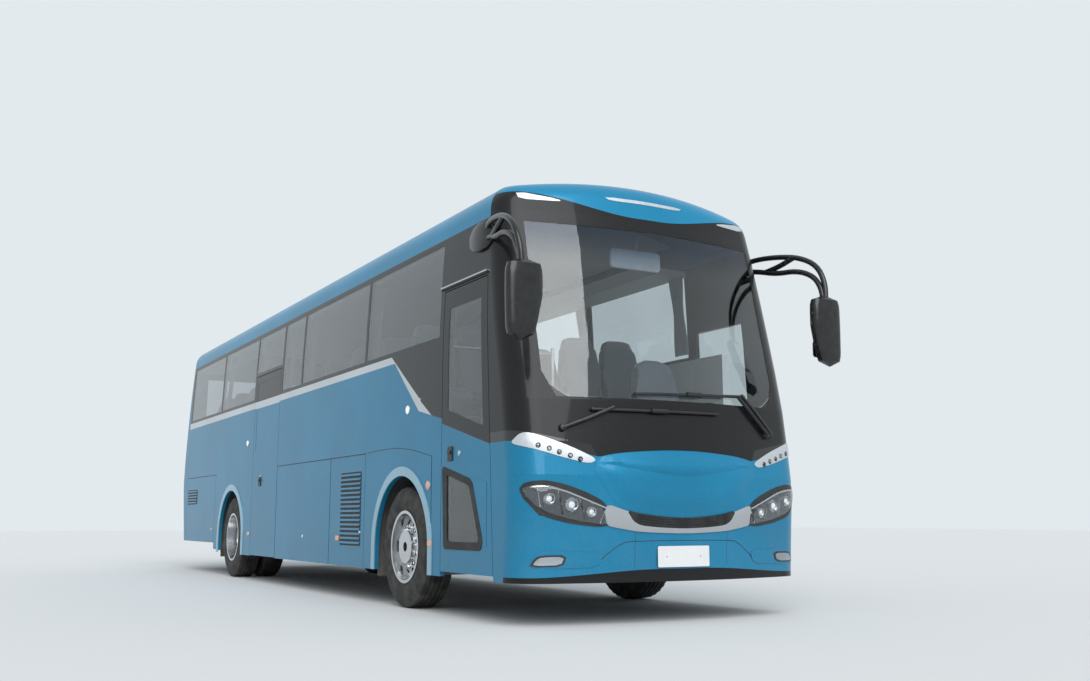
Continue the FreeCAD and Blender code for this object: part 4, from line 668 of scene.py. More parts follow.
# Painted steel and cast iron: dull, stained and grey with road dust
HINGE = Metal("steel_painted_hinge", "26272A", 0.5, "hinge_metal", metallic=0.3, grain_mm=8, dust=Dust.LIGHT)
FRAME = Metal("steel_painted_chassis", "222326", 0.6, "frame_steel", metallic=0.2, grain_mm=12, depth_mm=0.2,
              dust=Dust.HEAVY)
AXLE = Metal("iron_cast_axle", "2C2B2A", 0.7, "axle_steel", metallic=0.6, grain_mm=6, depth_mm=0.4, stain_share=0.5,
             dust=Dust.HEAVY)
ENGINE = Metal("iron_cast_engine", "4A4B4C", 0.65, "engine_iron", metallic=0.6, grain_mm=7, depth_mm=0.4,
               stain_share=0.4)
# Vinyl and rubber: matt, flecked or chalky
FLOORING = Vinyl("vinyl_floor_grey", "4A4D50", 0.6, "floor")
SKIRT_RUBBER = Rubber("rubber_moulded_flap", "151515", 0.8, "flap_rubber", dust=Dust.HEAVY)
SEAL = Rubber("rubber_extruded_seal", "0E0F10", 0.6, "flap_rubber")
TYRE = TyreRubber("rubber_tyre_compound", "1C1C1D", 0.82, "tyre")
# Float glass and polycarbonate: clear or grey in the mass, marked by dried rain, with flutes in the lamps
SIDE_GLASS = Glazing("glass_toughened_grey_tint", "C3CACD", 0.0, "dark_glass")
SCREEN_GLASS = Glazing("glass_laminated_windscreen", "F4FAFA", 0.0, "clear_glass", frit_below=1.592, frit_above=2.985,
                       band_above=2.62)
DOOR_GLASS = Glazing("glass_toughened_door", "C3CACD", 0.0, "dark_glass")
LENS = LampLens("polycarbonate_clear_lens", "F4F8FA", 0.02, "lamp_glass")
LENS_SET = LensSet("polycarbonate_lens_set", "F4F8FA", 0.02, "lamp_glass")
RED_LENS = LampLens("polycarbonate_red_lens", "D81A26", 0.05, "red_glass")
AMBER_LAMP = Glow("polycarbonate_amber_lamp", "E58A2A", 0.25, "lamp_glass", strength=0.12)
WHITE_LED = Glow("led_white", "F4F6F8", 0.3, "lamp_glass", strength=0.4)
# Woven cloth: a soft, uneven surface whose pile lights up along its edges
MOQUETTE = Cloth("moquette_woven_grey_blue", "7B858F", 0.9, "seat_fabric")
HEADREST = Cloth("leathercloth_headrest", "8D9194", 0.6, "seat_fabric", fleck="A5A9AC")
DRAPE = Cloth("drape_woven_grey", "9AA3AB", 0.95, "seat_fabric", weave=Weave.DRAPE, thread_mm=3.0)

NODE_FINISHES: dict[str, Finish] = {
    name: finish for finish, names in (
        (BLUE, "side_panels rear_wall front_panel rear_bumper engine_door flap_left_front flap_left_mid flap_left_rear "
               "flap_right_front flap_right_mid flap_right_rear"),
        (BLUE_BUMPER, "front_bumper"), (BLUE_DOOR, "front_door mid_door mid_door_glass"), (ROOF, "roof_panel ac_unit"),
        (CAP, "front_cap"), (STRIPE, "belt_stripes"), (LIP, "arch_lips"), (BRONZE, "window_frames front_mask"),
        (BLACK_ABS, "roof_hatches front_grille mirrors wipers"), (LENS_SET, "front_lamps"), (RED_LENS, "tail_lamps"),
        (SCREEN_GLASS, "windscreen"), (SIDE_GLASS, "body_windows"), (DOOR_GLASS, "front_door_glass"),
        (HINGE, "flap_hinges front_door_arm mid_door_arm"), (SKIRT_RUBBER, "mudflaps"),
        (LINING, "wheelhouses luggage_bays"), (FLOORING, "cabin_floor"), (DASH_ABS, "dashboard steering_wheel"),
        (CABIN_ABS, "luggage_racks"), (RAIL, "handrails"), (ENGINE, "engine_block"), (FRAME, "chassis_frame"),
        (AXLE, "front_axle_beam rear_axle knuckle_left knuckle_right"),
        (WHEEL, "rim_front_left rim_front_right rim_rear_left rim_rear_right"),
        (TYRE, "tyre_front_left tyre_front_right tyre_rear_left tyre_rear_right"),
        (MOQUETTE, "passenger_seats driver_seat")) for name in names.split()}


# Mesh helpers


def as_object(name: str, bm: Mesh, finish: Finish, smooth: bool = True) -> Item:
    """Turns mesh data into an object at the origin, with its faces outwards.

    Args:
        name: the piece's name.
        bm: the mesh data, which is freed.
        finish: what the piece is made of.
        smooth: whether its faces are shaded smooth.

    Returns:
        The new object, in the scene.
    """
    bmesh.ops.remove_doubles(bm, verts=bm.verts, dist=WELD)
    bmesh.ops.recalc_face_normals(bm, faces=bm.faces)
    for face in bm.faces:
        face.smooth = smooth
    mesh = bpy.data.meshes.new(name)
    bm.to_mesh(mesh)
    bm.free()
    if smooth:
        mesh.set_sharp_from_angle(angle=SHARP)
    mesh.materials.append(finish.material())
    item = bpy.data.objects.new(name, mesh)
    bpy.context.scene.collection.objects.link(item)
    return item


def fit(item: Item, finish: Finish, body: str = BODY) -> Item:
    """Makes a finished piece ride on its body and reports it.

    Args:
        item: the piece.
        finish: what it is made of; not used.
        body: the body that carries it.

    Returns:
        The piece.
    """
    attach(item, body)
    LOG.info("%s: %d faces on %s", item.name, len(item.data.polygons), body)
    return item


def piece(name: str, bm: Mesh, finish: Finish, body: str = BODY, smooth: bool = True) -> Item:
    """Turns mesh data into a fitted piece.

    Args:
        name: the piece's name.
        bm: the mesh data, which is freed.
        finish: what the piece is made of.
        body: the body that carries it.
        smooth: whether its faces are shaded smooth.

    Returns:
        The piece.
    """
    return fit(as_object(name, bm, finish, smooth), finish, body)


def loft(bm: Mesh, rings: list[list[Vector]], closed: bool = True, capped: bool = True) -> None:
    """Skins rings of points.

    Args:
        bm: the mesh that takes the faces.
        rings: rings with the same count of points.
        closed: whether each ring closes on itself.
        capped: whether the first and last ring get a face.
    """
    made = [[bm.verts.new(p) for p in ring] for ring in rings]
    count = len(made[0])
    for low, high in zip(made, made[1:]):
        for place in range(count if closed else count - 1):
            after = (place + 1) % count
            bm.faces.new((low[place], low[after], high[after], high[place]))
    if capped:
        bm.faces.new(list(reversed(made[0])))
        bm.faces.new(made[-1])


def circle(centre: Vector, across: Vector, third: Vector, radius: float, steps: int) -> list[Vector]:
    """Returns the points of a circle in the plane of two unit vectors."""
    return [centre + (across * math.cos(math.tau * k / steps) + third * math.sin(math.tau * k / steps)) * radius
            for k in range(steps)]


def squared(value: float, power: float) -> float:
    """Raises a sine or cosine to a power and keeps its sign, which squares off a round section."""
    return math.copysign(abs(value) ** power, value)


def turned(bm: Mesh, centre: Vector, axis: Vector, profile: list[Spot], steps: int) -> None:
    """Adds a turned form.

    Args:
        bm: the mesh that takes it.
        centre: the point on the axis that the profile starts from.
        axis: the direction of the axis.
        profile: pairs of distance along the axis and radius.
        steps: how many segments go round.
    """
    along = axis.normalized()
    across = along.orthogonal().normalized()
    third = along.cross(across)
    loft(bm, [circle(centre + along * way, across, third, max(radius, LEAST_RADIUS), steps)
              for way, radius in profile])


def rounded_slab(bm: Mesh, centre: Vector, size: Point, radius: float, turn: Matrix | None = None) -> None:
    """Adds a slab with rounded corners and eased edges.

    Args:
        bm: the mesh that takes it.
        centre: its middle.
        size: its size along X, Y and Z; the rounded corners are seen along X.
        radius: the corners' radius.
        turn: how it is turned about its middle.
    """
    deep, wide, high = (value / 2 for value in size)
    ease = min(deep, radius) * 0.5
    rings = []
    for x, inset in ((-deep, ease), (-deep + ease, 0.0), (deep - ease, 0.0), (deep, ease)):
        ring = []
        for corner, (sy, sz) in enumerate(((1, 1), (-1, 1), (-1, -1), (1, -1))):
            for step in range(5):
                angle = math.radians(90 * corner + 22.5 * step)
                bow = max(radius - inset, 0.2 * MM)
                ring.append(Vector((x, sy * (wide - radius) + bow * math.cos(angle),
                                    sz * (high - radius) + bow * math.sin(angle))))
        rings.append([centre + (turn @ p if turn else p) for p in ring])
    loft(bm, rings)


def tube(bm: Mesh, points: list[Vector], radius: float, steps: int = 10) -> None:
    """Adds a round bar through points, with capped ends.

    Args:
        bm: the mesh that takes it.
        points: the points on its middle line.
        radius: its radius.
        steps: how many segments go round.
    """
    rings = []
    across = None
    for place, point in enumerate(points):
        ahead = (points[min(place + 1, len(points) - 1)] - points[max(place - 1, 0)]).normalized()
        across = ahead.orthogonal() if across is None else across - ahead * across.dot(ahead)
        across = across.normalized()
        rings.append(circle(point, across, ahead.cross(across), radius, steps))
    loft(bm, rings)


class Skin:
    """Finds places on the surface of a solid node."""

    def __init__(self, *nodes: str) -> None:
        """Keeps the nodes' surfaces for the searches."""
        depsgraph = bpy.context.evaluated_depsgraph_get()
        self.trees = [BVHTree.FromObject(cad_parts[name], depsgraph) for name in nodes]

    def hit(self, start: Point, way: Point) -> Hit | None:
        """Finds the first surface on a ray.

        Args:
            start: where the ray starts.
            way: its direction.

        Returns:
            The point and its outward normal, or None where the ray meets nothing.
        """
        found: list[tuple[float, Vector, Vector]] = []
        for tree in self.trees:
            point, normal, _, distance = tree.ray_cast(Vector(start), Vector(way).normalized())
            if point is not None:
                found.append((distance, point, normal))
        if not found:
            return None
        _, point, normal = min(found, key=lambda row: row[0])
        return point, normal if normal.dot(Vector(way)) < 0 else -normal

    def front(self, y: float, z: float) -> Hit | None:
        """Finds the surface seen from the front at a width and height."""
        return self.hit((FAR_END, y, z), (-1, 0, 0))

    def rear(self, y: float, z: float) -> Hit | None:
        """Finds the surface seen from behind at a width and height."""
        return self.hit((-FAR_END, y, z), (1, 0, 0))

    def flank(self, side: Side, x: float, z: float) -> Hit | None:
        """Finds the surface seen from one side at a length and height."""
        return self.hit((x, FAR_SIDE * side.value, z), (0, -side.value, 0))


class BridgedSkin(Skin):
    """A nose surface that spans an opening: in there it runs straight from the lower edge to the upper one."""

    def __init__(self, nodes: tuple[str, ...], half: float, low: float, high: float) -> None:
        """Keeps the surfaces and the opening's half width and heights."""
        super().__init__(*nodes)
        self.half, self.low, self.high = half, low, high

    def front(self, y: float, z: float) -> Hit | None:
        """Finds the surface seen from the front, bridged over the opening.

        Args:
            y: the width.
            z: the height.

        Returns:
            The point and its outward normal, or None where there is no surface.
        """
        if abs(y) > self.half or not self.low < z < self.high:
            return super().front(y, z)
        under, over = super().front(y, self.low), super().front(y, self.high)
        if not under or not over:
            return None
        share = (z - self.low) / (self.high - self.low)
        return under[0].lerp(over[0], share), under[1].lerp(over[1], share).normalized()


# Geometry node trees for what repeats


@dataclass
class Repeat:
    """A geometry node tree that sets copies of one small mesh on given points, each with a turn of its own."""

    name: str = "repeat_on_points"
    seed: int = COPY_SEED
    inputs: dict[str, str] = field(default_factory=dict)

    def tree(self, pattern: Item, material: bpy.types.Material) -> bpy.types.NodeTree:
        """Builds the tree.

        Args:
            pattern: the object that is repeated, in its own axes.
            material: the material of every copy.

        Returns:
            The node group, with the named inputs Scale and Wobble.
        """
        group = bpy.data.node_groups.new(self.name, "GeometryNodeTree")
        face = group.interface
        face.new_socket("Geometry", in_out="INPUT", socket_type="NodeSocketGeometry")
        for label, value in (("Scale", 1.0), ("Wobble", 0.0)):
            socket = face.new_socket(label, in_out="INPUT", socket_type="NodeSocketFloat")
            socket.default_value = value
            self.inputs[label] = socket.identifier
        face.new_socket("Geometry", in_out="OUTPUT", socket_type="NodeSocketGeometry")
        entry = put(group, "NodeGroupInput").node.outputs
        points = put(group, "GeometryNodeMeshToPoints", (entry["Geometry"],))
        turn = put(group, "GeometryNodeInputNamedAttribute", {"Name": "turn"}, "Attribute", data_type="FLOAT_VECTOR")
        source = put(group, "GeometryNodeObjectInfo", {"Object": pattern}, "Geometry", transform_space="ORIGINAL")
        spread = put(group, "FunctionNodeRandomValue", {2: -1.0, "Seed": self.seed}, 1, data_type="FLOAT")
        size = put(group, MATH, (spread, entry["Wobble"], entry["Scale"]), operation="MULTIPLY_ADD")
        copies = put(group, "GeometryNodeInstanceOnPoints",
                     {"Points": points, "Instance": source, "Rotation": turn, "Scale": size})
        real = put(group, "GeometryNodeRealizeInstances", (copies,))
        dressed = put(group, "GeometryNodeSetMaterial", {"Geometry": real, "Material": material})
        put(group, "NodeGroupOutput", (dressed,))
        return group

    def bake(self, name: str, pattern: Mesh, places: list[tuple[Vector, Vector]], finish: Finish,
             scale: float = 1.0, wobble: float = 0.0) -> Item:
        """Sets copies of a pattern at places and bakes them to one plain mesh.

        Args:
            name: the new piece's name.
            pattern: a small mesh about its own origin, standing along +Z.
            places: pairs of a point and a turn in radians about X, Y and Z.
            finish: what the copies are made of.
            scale: their scale.
            wobble: how far the scale varies at random, with this tree's seed.

        Returns:
            The baked piece.
        """
        model = as_object(name + "_pattern", pattern, finish)
        carrier = bpy.data.meshes.new(name)
        carrier.from_pydata([tuple(point) for point, _ in places], [], [])
        attribute = carrier.attributes.new("turn", "FLOAT_VECTOR", "POINT")
        for place, (_, turn) in enumerate(places):
            attribute.data[place].vector = turn
        item = bpy.data.objects.new(name, carrier)
        bpy.context.scene.collection.objects.link(item)
        modifier = item.modifiers.new("repeat", "NODES")
        modifier.node_group = self.tree(model, finish.material())
        modifier[self.inputs["Scale"]] = scale
        modifier[self.inputs["Wobble"]] = wobble
        graph = bpy.context.evaluated_depsgraph_get()
        baked = bpy.data.meshes.new_from_object(item.evaluated_get(graph))
        item.modifiers.remove(modifier)
        item.data = baked
        baked.name = name
        bpy.data.objects.remove(model)
        return item


def facing(direction: Vector) -> Vector:
    """Returns the turn, as angles about X, Y and Z, that points a pattern's +Z along a direction."""
    return Vector(direction.to_track_quat("Z", "Y").to_euler())


def hex_nut(across: float, height: float) -> Mesh:
    """Builds a hexagon nut on a washer, standing on the plane through its origin.

    Args:
        across: its width across the flats.
        height: its height.

    Returns:
        The nut's mesh.
    """
    bm = bmesh.new()
    turned(bm, Vector(), UP, [(0.0, 0.72 * across), (0.16 * height, 0.70 * across)], 18)
    turned(bm, Vector(), UP, [(0.16 * height, 0.577 * across), (0.85 * height, 0.577 * across),
                              (height, 0.48 * across)], 6)
    turned(bm, Vector(), UP, [(height, 0.30 * across), (1.35 * height, 0.28 * across)], 10)
    return bm


# Sub-assemblies


@dataclass
class Wheels:
    """Tyres with a moulded tread, and wheel nuts, on the four wheel bodies."""

    front_x: float = 3.283
    rear_x: float = -2.638
    track_half: float = 1.107
    radius: float = 0.510
    half_width: float = 0.138
    twin_spacing: float = 0.318
    bead_radius: float = 0.2925
    nut_circle: float = 0.1675
    nut_across: float = 0.033
    nut_height: float = 0.020
    nut_count: int = 10
    front_face: float = 1.192
    rear_face: float = 0.962
    groove_depth: float = 0.012
    notch_depth: float = 0.006
    steps: int = 120

    def profile(self) -> list[Spot]:
        """Draws the tyre's outline, with five ribs and four grooves.

        Returns:
            Pairs of distance across and radius.
        """
        deep = self.radius - self.groove_depth
        outline = [(-0.112, self.bead_radius), (-0.124, 0.312), (-0.1365, 0.36), (-self.half_width, 0.398),
                   (-0.1345, 0.44), (-0.126, 0.473), (-0.119, 0.492), (-0.112, 0.5035)]
        shoulder = len(outline)
        for middle in (-0.066, -0.022, 0.022, 0.066):
            crown = self.radius - 0.25 * abs(middle) ** 1.6
            outline += [(middle - 0.0065, crown), (middle - 0.0045, deep), (middle + 0.0045, deep),
                        (middle + 0.0065, crown)]
        outline += [(-y, r) for y, r in reversed(outline[:shoulder])]
        return outline

    def tyre(self, name: str, centres: list[Vector]) -> Item:
        """Builds one wheel's tyre, or its pair of tyres.

        Args:
            name: the piece's name.
            centres: the tyres' middles.

        Returns:
            The piece, with its unwrapping round the tyre and across it.
        """
        bm = bmesh.new()
        layer = bm.loops.layers.uv.new("UVMap")
        outline = self.profile()
        total = len(outline)
        for centre in centres:
            rings = []
            for step in range(self.steps):
                angle = math.tau * step / self.steps
                notch = self.notch_depth if step % 3 == 0 else 0.0
                ring = []
                for y, r in outline:
                    cut = notch if abs(y) > 0.09 and r > 0.49 else 0.0
                    ring.append(bm.verts.new(centre + Vector(((r - cut) * math.cos(angle), y,
                                                              (r - cut) * math.sin(angle)))))
                rings.append(ring)
            for step in range(self.steps):
                after = rings[(step + 1) % self.steps]
                for place in range(total):
                    corners = ((rings[step][place], step, place), (rings[step][(place + 1) % total], step, place + 1),
                               (after[(place + 1) % total], step + 1, place + 1), (after[place], step + 1, place))
                    made = bm.faces.new([corner[0] for corner in corners])
                    for loop, (_, across, up) in zip(made.loops, corners):
                        loop[layer].uv = (across / self.steps, up / total)
        return as_object(name, bm, TYRE)

    def nuts(self, name: str, centre: Vector, outward: float, face: float) -> Item:
        """Builds the ring of wheel nuts over the bolt holes.

        Args:
            name: the piece's name.
            centre: the wheel's middle.
            outward: the sign of Y that points out of the coach.
            face: how far from the middle of the coach the disc's face lies.

        Returns:
            The baked ring.
        """
        turn = facing(Vector((0, outward, 0)))
        places = []
        for step in range(self.nut_count):
            angle = math.tau * (step + 0.5) / self.nut_count
            places.append((Vector((centre.x + self.nut_circle * math.cos(angle), outward * face,
                                   centre.z + self.nut_circle * math.sin(angle))), turn))
        return Repeat("nut_ring").bake(name, hex_nut(self.nut_across, self.nut_height), places, CHROME)

    def build(self) -> None:
        """Builds the tyres and nuts of all four wheels."""
        for side in Side:
            sign = side.value
            for end, x in (("front", self.front_x), ("rear", self.rear_x)):
                label = f"{end}_{side.name.lower()}"
                body = f"{end}_wheel_{side.name.lower()}"
                middle = Vector((x, sign * self.track_half, self.radius))
                centres = [middle]
                if end == "rear":
                    centres.append(middle - Vector((0, sign * self.twin_spacing, 0)))
                tyre = self.tyre(f"tyre_tread_{label}", centres)
                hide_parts(f"tyre_{label}")
                fit(tyre, TYRE, body)
                face = self.front_face if end == "front" else self.rear_face
                fit(self.nuts(f"wheel_nuts_{label}", middle, sign, face), CHROME, body)


@dataclass
class Cushion:
    """One crowned pad: a superellipse cushion whose sides pull in between its corners."""

    size: Point
    crown: float = 0.35
    pull: float = 0.06
    seams: int = 3

    def add(self, bm: Mesh, centre: Vector, turn: Matrix | None = None) -> None:
        """Adds the pad to a mesh.

        Args:
            bm: the mesh that takes it.
            centre: its middle.
            turn: how it is turned about its middle.
        """
        long_steps, round_steps = 12, 20
        deep, wide, high = (value / 2 for value in self.size)
        rings = []
        for place in range(long_steps + 1):
            way = -1 + 2 * place / long_steps
            full = (1 - abs(way) ** 5) ** 0.35
            stitch = 1 - 0.05 * math.exp(-(((way * self.seams * 0.5) % 1.0 - 0.5) / 0.12) ** 2)
            ring = []
            for k in range(round_steps):
                angle = math.tau * k / round_steps
                c, s = math.cos(angle), math.sin(angle)
                across, up = squared(c, 0.45), squared(s, 0.6)
                crown = 1 + self.crown * 0.3 * (1 - way * way) * (1 - across * across)
                tuck = 1 - self.pull * (1 - abs(way)) * (1 - up * up)
                ring.append(Vector((deep * across * (0.72 + 0.28 * full) * tuck, wide * way,
                                    high * up * full * stitch * crown / (1 + 0.3 * self.crown))))
            rings.append([centre + (turn @ p if turn else p) for p in ring])
        loft(bm, rings)


@dataclass
class Seats:
    """The passenger benches and the driver's seat: moquette pads on steel legs, in the room that their solids hold."""

    front_x: float = 3.126
    pitch: float = 0.80
    foot: float = 1.350
    wall_y: float = 1.205
    aisle_y: float = 0.305
    top: float = 2.470
    head_level: float = 2.2
    recline_deg: float = 9.0

    def lean(self) -> Matrix:
        """Returns the turn that leans a backrest back."""
        return Matrix.Rotation(math.radians(-self.recline_deg), 3, "Y")

    def rows(self) -> list[Spot]:
        """Finds the benches of the solid node.

        Returns:
            Each bench's rear edge and the sign of its side.
        """
        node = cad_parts["passenger_seats"]
        found: set[Spot] = set()
        for vertex in node.data.vertices:
            place = vertex.co
            row = round((self.front_x - place.x) / self.pitch + 0.35)
            if place.z > self.head_level:
                found.add((round(self.front_x - row * self.pitch, 3), 1.0 if place.y > 0 else -1.0))
        return sorted(found)

    def bench(self, pads: Mesh, heads: Mesh, legs: Mesh, x: float, sign: float) -> None:
        """Adds one bench of two places.

        Args:
            pads: the mesh of the cushions and backs.
            heads: the mesh of the headrests.
            legs: the mesh of the frames.
            x: the bench's rear edge.
            sign: the side of the aisle.
        """
        lean = self.lean()
        width = (self.wall_y - self.aisle_y) / 2
        for place in range(2):
            y = sign * (self.aisle_y + width * (place + 0.5))
            Cushion((0.43, width - 0.02, 0.15)).add(pads, Vector((x + 0.365, y, self.foot + 0.44)))
            Cushion((0.13, width - 0.02, 0.62), crown=0.2, seams=4).add(
                pads, Vector((x + 0.13, y, self.foot + 0.76)), lean)
            Cushion((0.11, width - 0.13, 0.16), crown=0.3, seams=1).add(
                heads, Vector((x + 0.075, y, self.top - 0.09)), lean)
        for way in (0.25, 0.75):
            y = sign * (self.aisle_y + 2 * width * way)
            tube(legs, [Vector((x + 0.20, y, self.foot + 0.002)), Vector((x + 0.22, y, self.foot + 0.36)),
                        Vector((x + 0.48, y, self.foot + 0.36))], 0.018, 8)
        aisle = sign * (self.aisle_y + 0.012)
        tube(legs, [Vector((x + 0.14, aisle, self.foot + 0.62)), Vector((x + 0.40, aisle, self.foot + 0.64))], 0.012, 8)

    def driver(self) -> None:
        """Builds the driver's seat in the room of its solid node."""
        low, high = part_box("driver_seat")
        middle = (low[1] + high[1]) / 2
        width = high[1] - low[1] - 0.01
        lean = self.lean()
        pads, base = bmesh.new(), bmesh.new()
        Cushion((0.46, width, 0.15)).add(pads, Vector((low[0] + 0.35, middle, low[2] + 0.45)))
        Cushion((0.14, width, 0.62), crown=0.2, seams=4).add(pads, Vector((low[0] + 0.14, middle, low[2] + 0.80)), lean)
        Cushion((0.12, 0.26, 0.17), crown=0.3, seams=1).add(pads, Vector((low[0] + 0.08, middle, high[2] - 0.09)), lean)
        rounded_slab(base, Vector((low[0] + 0.35, middle, low[2] + 0.19)), (0.34, 0.30, 0.37), 0.04)
        made = as_object("driver_seat_pads", pads, MOQUETTE)
        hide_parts("driver_seat")
        fit(made, MOQUETTE)
        piece("driver_seat_base", base, DASH_ABS)

    def build(self) -> None:
        """Builds the benches, then the driver's seat."""
        pads, heads, legs = bmesh.new(), bmesh.new(), bmesh.new()
        rows = self.rows()
        for x, sign in rows:
            self.bench(pads, heads, legs, x, sign)
        made = as_object("seat_pads", pads, MOQUETTE)
        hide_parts("passenger_seats")
        fit(made, MOQUETTE)
        fit(as_object("seat_headrests", heads, HEADREST), HEADREST)
        piece("seat_frames", legs, RAIL)
        self.driver()
        LOG.info("benches: %d", len(rows))


@dataclass
class Curtains:
    """Gathered window curtains, tied back beside the posts, in gentle folds."""

    posts: tuple[float, ...] = (4.02, 2.32, 0.29, -0.49, -1.65, -3.38)
    width: float = 0.22
    top: float = 2.955
    bottom: float = 2.235
    fold: float = 0.028
    folds: int = 5
    reach: float = 1.180
    side_lean: float = 0.062
    steps: tuple[int, int] = (60, 10)

    def build(self) -> None:
        """Builds one curtain at each post on both sides."""
        for side in Side:
            for number, x in enumerate(self.posts):
                bm = bmesh.new()
                across, down = self.steps
                rows = []
                for v in range(down + 1):
                    share = v / down
                    z = self.top + (self.bottom - self.top) * share
                    tied = 1 - 0.28 * math.sin(math.pi * min(1.0, share * 1.1)) ** 2
                    row = []
                    for u in range(across + 1):
                        way = u / across
                        wave = math.sin(math.tau * self.folds * way + 0.5 * number) * self.fold * tied
                        reach = self.reach - self.side_lean * (z - self.bottom) / (self.top - self.bottom)
                        row.append(Vector((x - self.width * tied * (way - 0.5), side.value * (reach - wave * 0.6), z)))
                    rows.append(row)
                grid = [[bm.verts.new(p) for p in row] for row in rows]
                for low, high in zip(grid, grid[1:]):
                    for u in range(across):
                        bm.faces.new((low[u], low[u + 1], high[u + 1], high[u]))
                item = as_object(f"curtain_{side.name.lower()}_{number + 1}", bm, DRAPE)
                fit(item, DRAPE)


@dataclass
class Plates:
    """The two blank number plates, and the front one's screws."""

    height: float = 0.4765
    rear_height: float = 0.50
    half: float = 0.229
    tall: float = 0.150
    thick: float = 0.0025
    screw_spacing: float = 0.300
    rear_size: Point = (0.006, 0.52, 0.11)

    def build(self) -> None:
        """Builds the front plate on its seat, the rear plate, and the front one's screw heads."""
        skin = Skin("front_bumper")
        seats = [skin.front(y * self.half, self.height + z * self.tall / 2) for y in (-1, 0, 1) for z in (-1, 0, 1)]
        face = max(seat[0].x for seat in seats if seat) + 0.0005
        bm = bmesh.new()
        rounded_slab(bm, Vector((face + self.thick / 2 + 0.0003, 0, self.height)),
                     (self.thick, 2 * self.half, self.tall), 0.010)
        piece("front_plate", bm, PLATE)
        places = [(Vector((face + self.thick, side.value * self.screw_spacing / 2, self.height)),
                   facing(Vector((1, 0, 0)))) for side in Side]
        found = Skin("rear_bumper", "rear_wall", "engine_door").rear(0.0, self.rear_height)
        if found:
            bm = bmesh.new()
            rounded_slab(bm, found[0] + found[1] * 0.004, self.rear_size, 0.008,
                         found[1].to_track_quat("X", "Z").to_matrix())
            piece("rear_plate", bm, PLATE)
        fit(Repeat("plate_screws").bake("front_plate_screws", hex_nut(0.008, 0.003), places, RAIL), RAIL)


def sided(outline: Outline, side: Side) -> list[Spot]:
    """Returns an outline on one side of the coach."""
    return [(side.value * y, z) for y, z in outline]


def mirrored(outline: Outline) -> list[Spot]:
    """Joins a half outline that ends on the middle line to its mirror image.

    Args:
        outline: widths and heights of the left half.

    Returns:
        The whole outline.
    """
    middle = [place for place in outline if abs(place[0]) < 1e-6]
    half = [place for place in outline if abs(place[0]) >= 1e-6]
    if len(middle) < 2:
        return half + middle + [(-y, z) for y, z in reversed(half)]
    return [middle[0], *half, middle[-1], *[(-y, z) for y, z in reversed(half)]]


def smoothed(outline: list[Spot], rounds: int = 2, closed: bool = True) -> list[Spot]:
    """Cuts the corners of an outline a few times, so that it runs in a smooth line.

    Args:
        outline: its points.
        rounds: how often the corners are cut.
        closed: whether it closes on itself.

    Returns:
        The smoother outline.
    """
    for _ in range(rounds):
        made = [] if closed else [outline[0]]
        pairs = list(zip(outline, outline[1:] + outline[:1])) if closed else list(zip(outline, outline[1:]))
        for (ay, az), (by, bz) in pairs:
            made += [(0.8 * ay + 0.2 * by, 0.8 * az + 0.2 * bz), (0.2 * ay + 0.8 * by, 0.2 * az + 0.8 * bz)]
        outline = made if closed else made + [outline[-1]]
    return outline


@dataclass
class SkinPanel:
    """A thin moulded panel that lies on the nose inside an outline, proud of it by a height that may swell."""

    outline: list[Spot]
    proud: float = 0.003
    swell: float = 0.0
    step: float = 0.035
    foot: float = 0.004

    def add(self, bm: Mesh, skin: Skin, fall: float = 0.12) -> None:
        """Adds the panel.

        Args:
            bm: the mesh that takes it.
            skin: the surface that it lies on.
            fall: how far from its edge the swell reaches its full height.
        """
        rim = [Vector(place) for place in self.outline]
        ys, zs = [v.x for v in rim], [v.y for v in rim]
        inner = [Vector((min(ys) + self.step * (i + 0.5), min(zs) + self.step * (j + 0.5)))
                 for i in range(int((max(ys) - min(ys)) / self.step) + 1)
                 for j in range(int((max(zs) - min(zs)) / self.step) + 1)]
        inner = [v for v in inner if self.depth(v, rim) > 0.3 * self.step]
        count = len(rim)
        places, _, faces, *_ = delaunay_2d_cdt(rim + inner, [(k, (k + 1) % count) for k in range(count)], [], 2, 1e-6)
        top, low = [], []
        for place in places:
            found = skin.front(place.x, place.y)
            if found is None:
                return
            point, normal = found
            aim = (normal + Vector((0.6, 0, 0))).normalized()
            share = min(1.0, max(0.0, self.depth(place, rim)) / fall)
            lift = self.proud + self.swell * math.sin(math.pi / 2 * share) ** 2
            top.append(bm.verts.new(point + aim * lift))
            low.append(bm.verts.new(point - aim * self.foot))
        for face in faces:
            bm.faces.new([top[k] for k in face])
            bm.faces.new([low[k] for k in reversed(face)])
        edges = dict.fromkeys((a, b) for face in faces for a, b in zip(face, face[1:] + face[:1]))
        for a, b in edges:
            if (b, a) not in edges:
                bm.faces.new((top[b], top[a], low[a], low[b]))

    def build(self, name: str, skin: Skin, finish: Finish, fall: float = 0.12) -> None:
        """Makes the panel a piece of its own.

        Args:
            name: the piece's name.
            skin: the surface that it lies on.
            finish: what it is made of.
            fall: how far from its edge the swell reaches its full height.
        """
        bm = bmesh.new()
        self.add(bm, skin, fall)
        piece(name, bm, finish)

    @staticmethod
    def depth(place: Vector, rim: list[Vector]) -> float:
        """Works out how far inside the rim a place lies.

        Args:
            place: the place's width and height.
            rim: the outline's points.

        Returns:
            The distance to the rim, which is negative outside it.
        """
        inside, nearest = False, 9.0
        for a, b in zip(rim, rim[1:] + rim[:1]):
            if (a.y > place.y) != (b.y > place.y) and place.x < a.x + (place.y - a.y) * (b.x - a.x) / (b.y - a.y):
                inside = not inside
            way = b - a
            share = max(0.0, min(1.0, (place - a).dot(way) / max(way.length_squared, 1e-12)))
            nearest = min(nearest, (place - a - way * share).length)
        return nearest if inside else -nearest


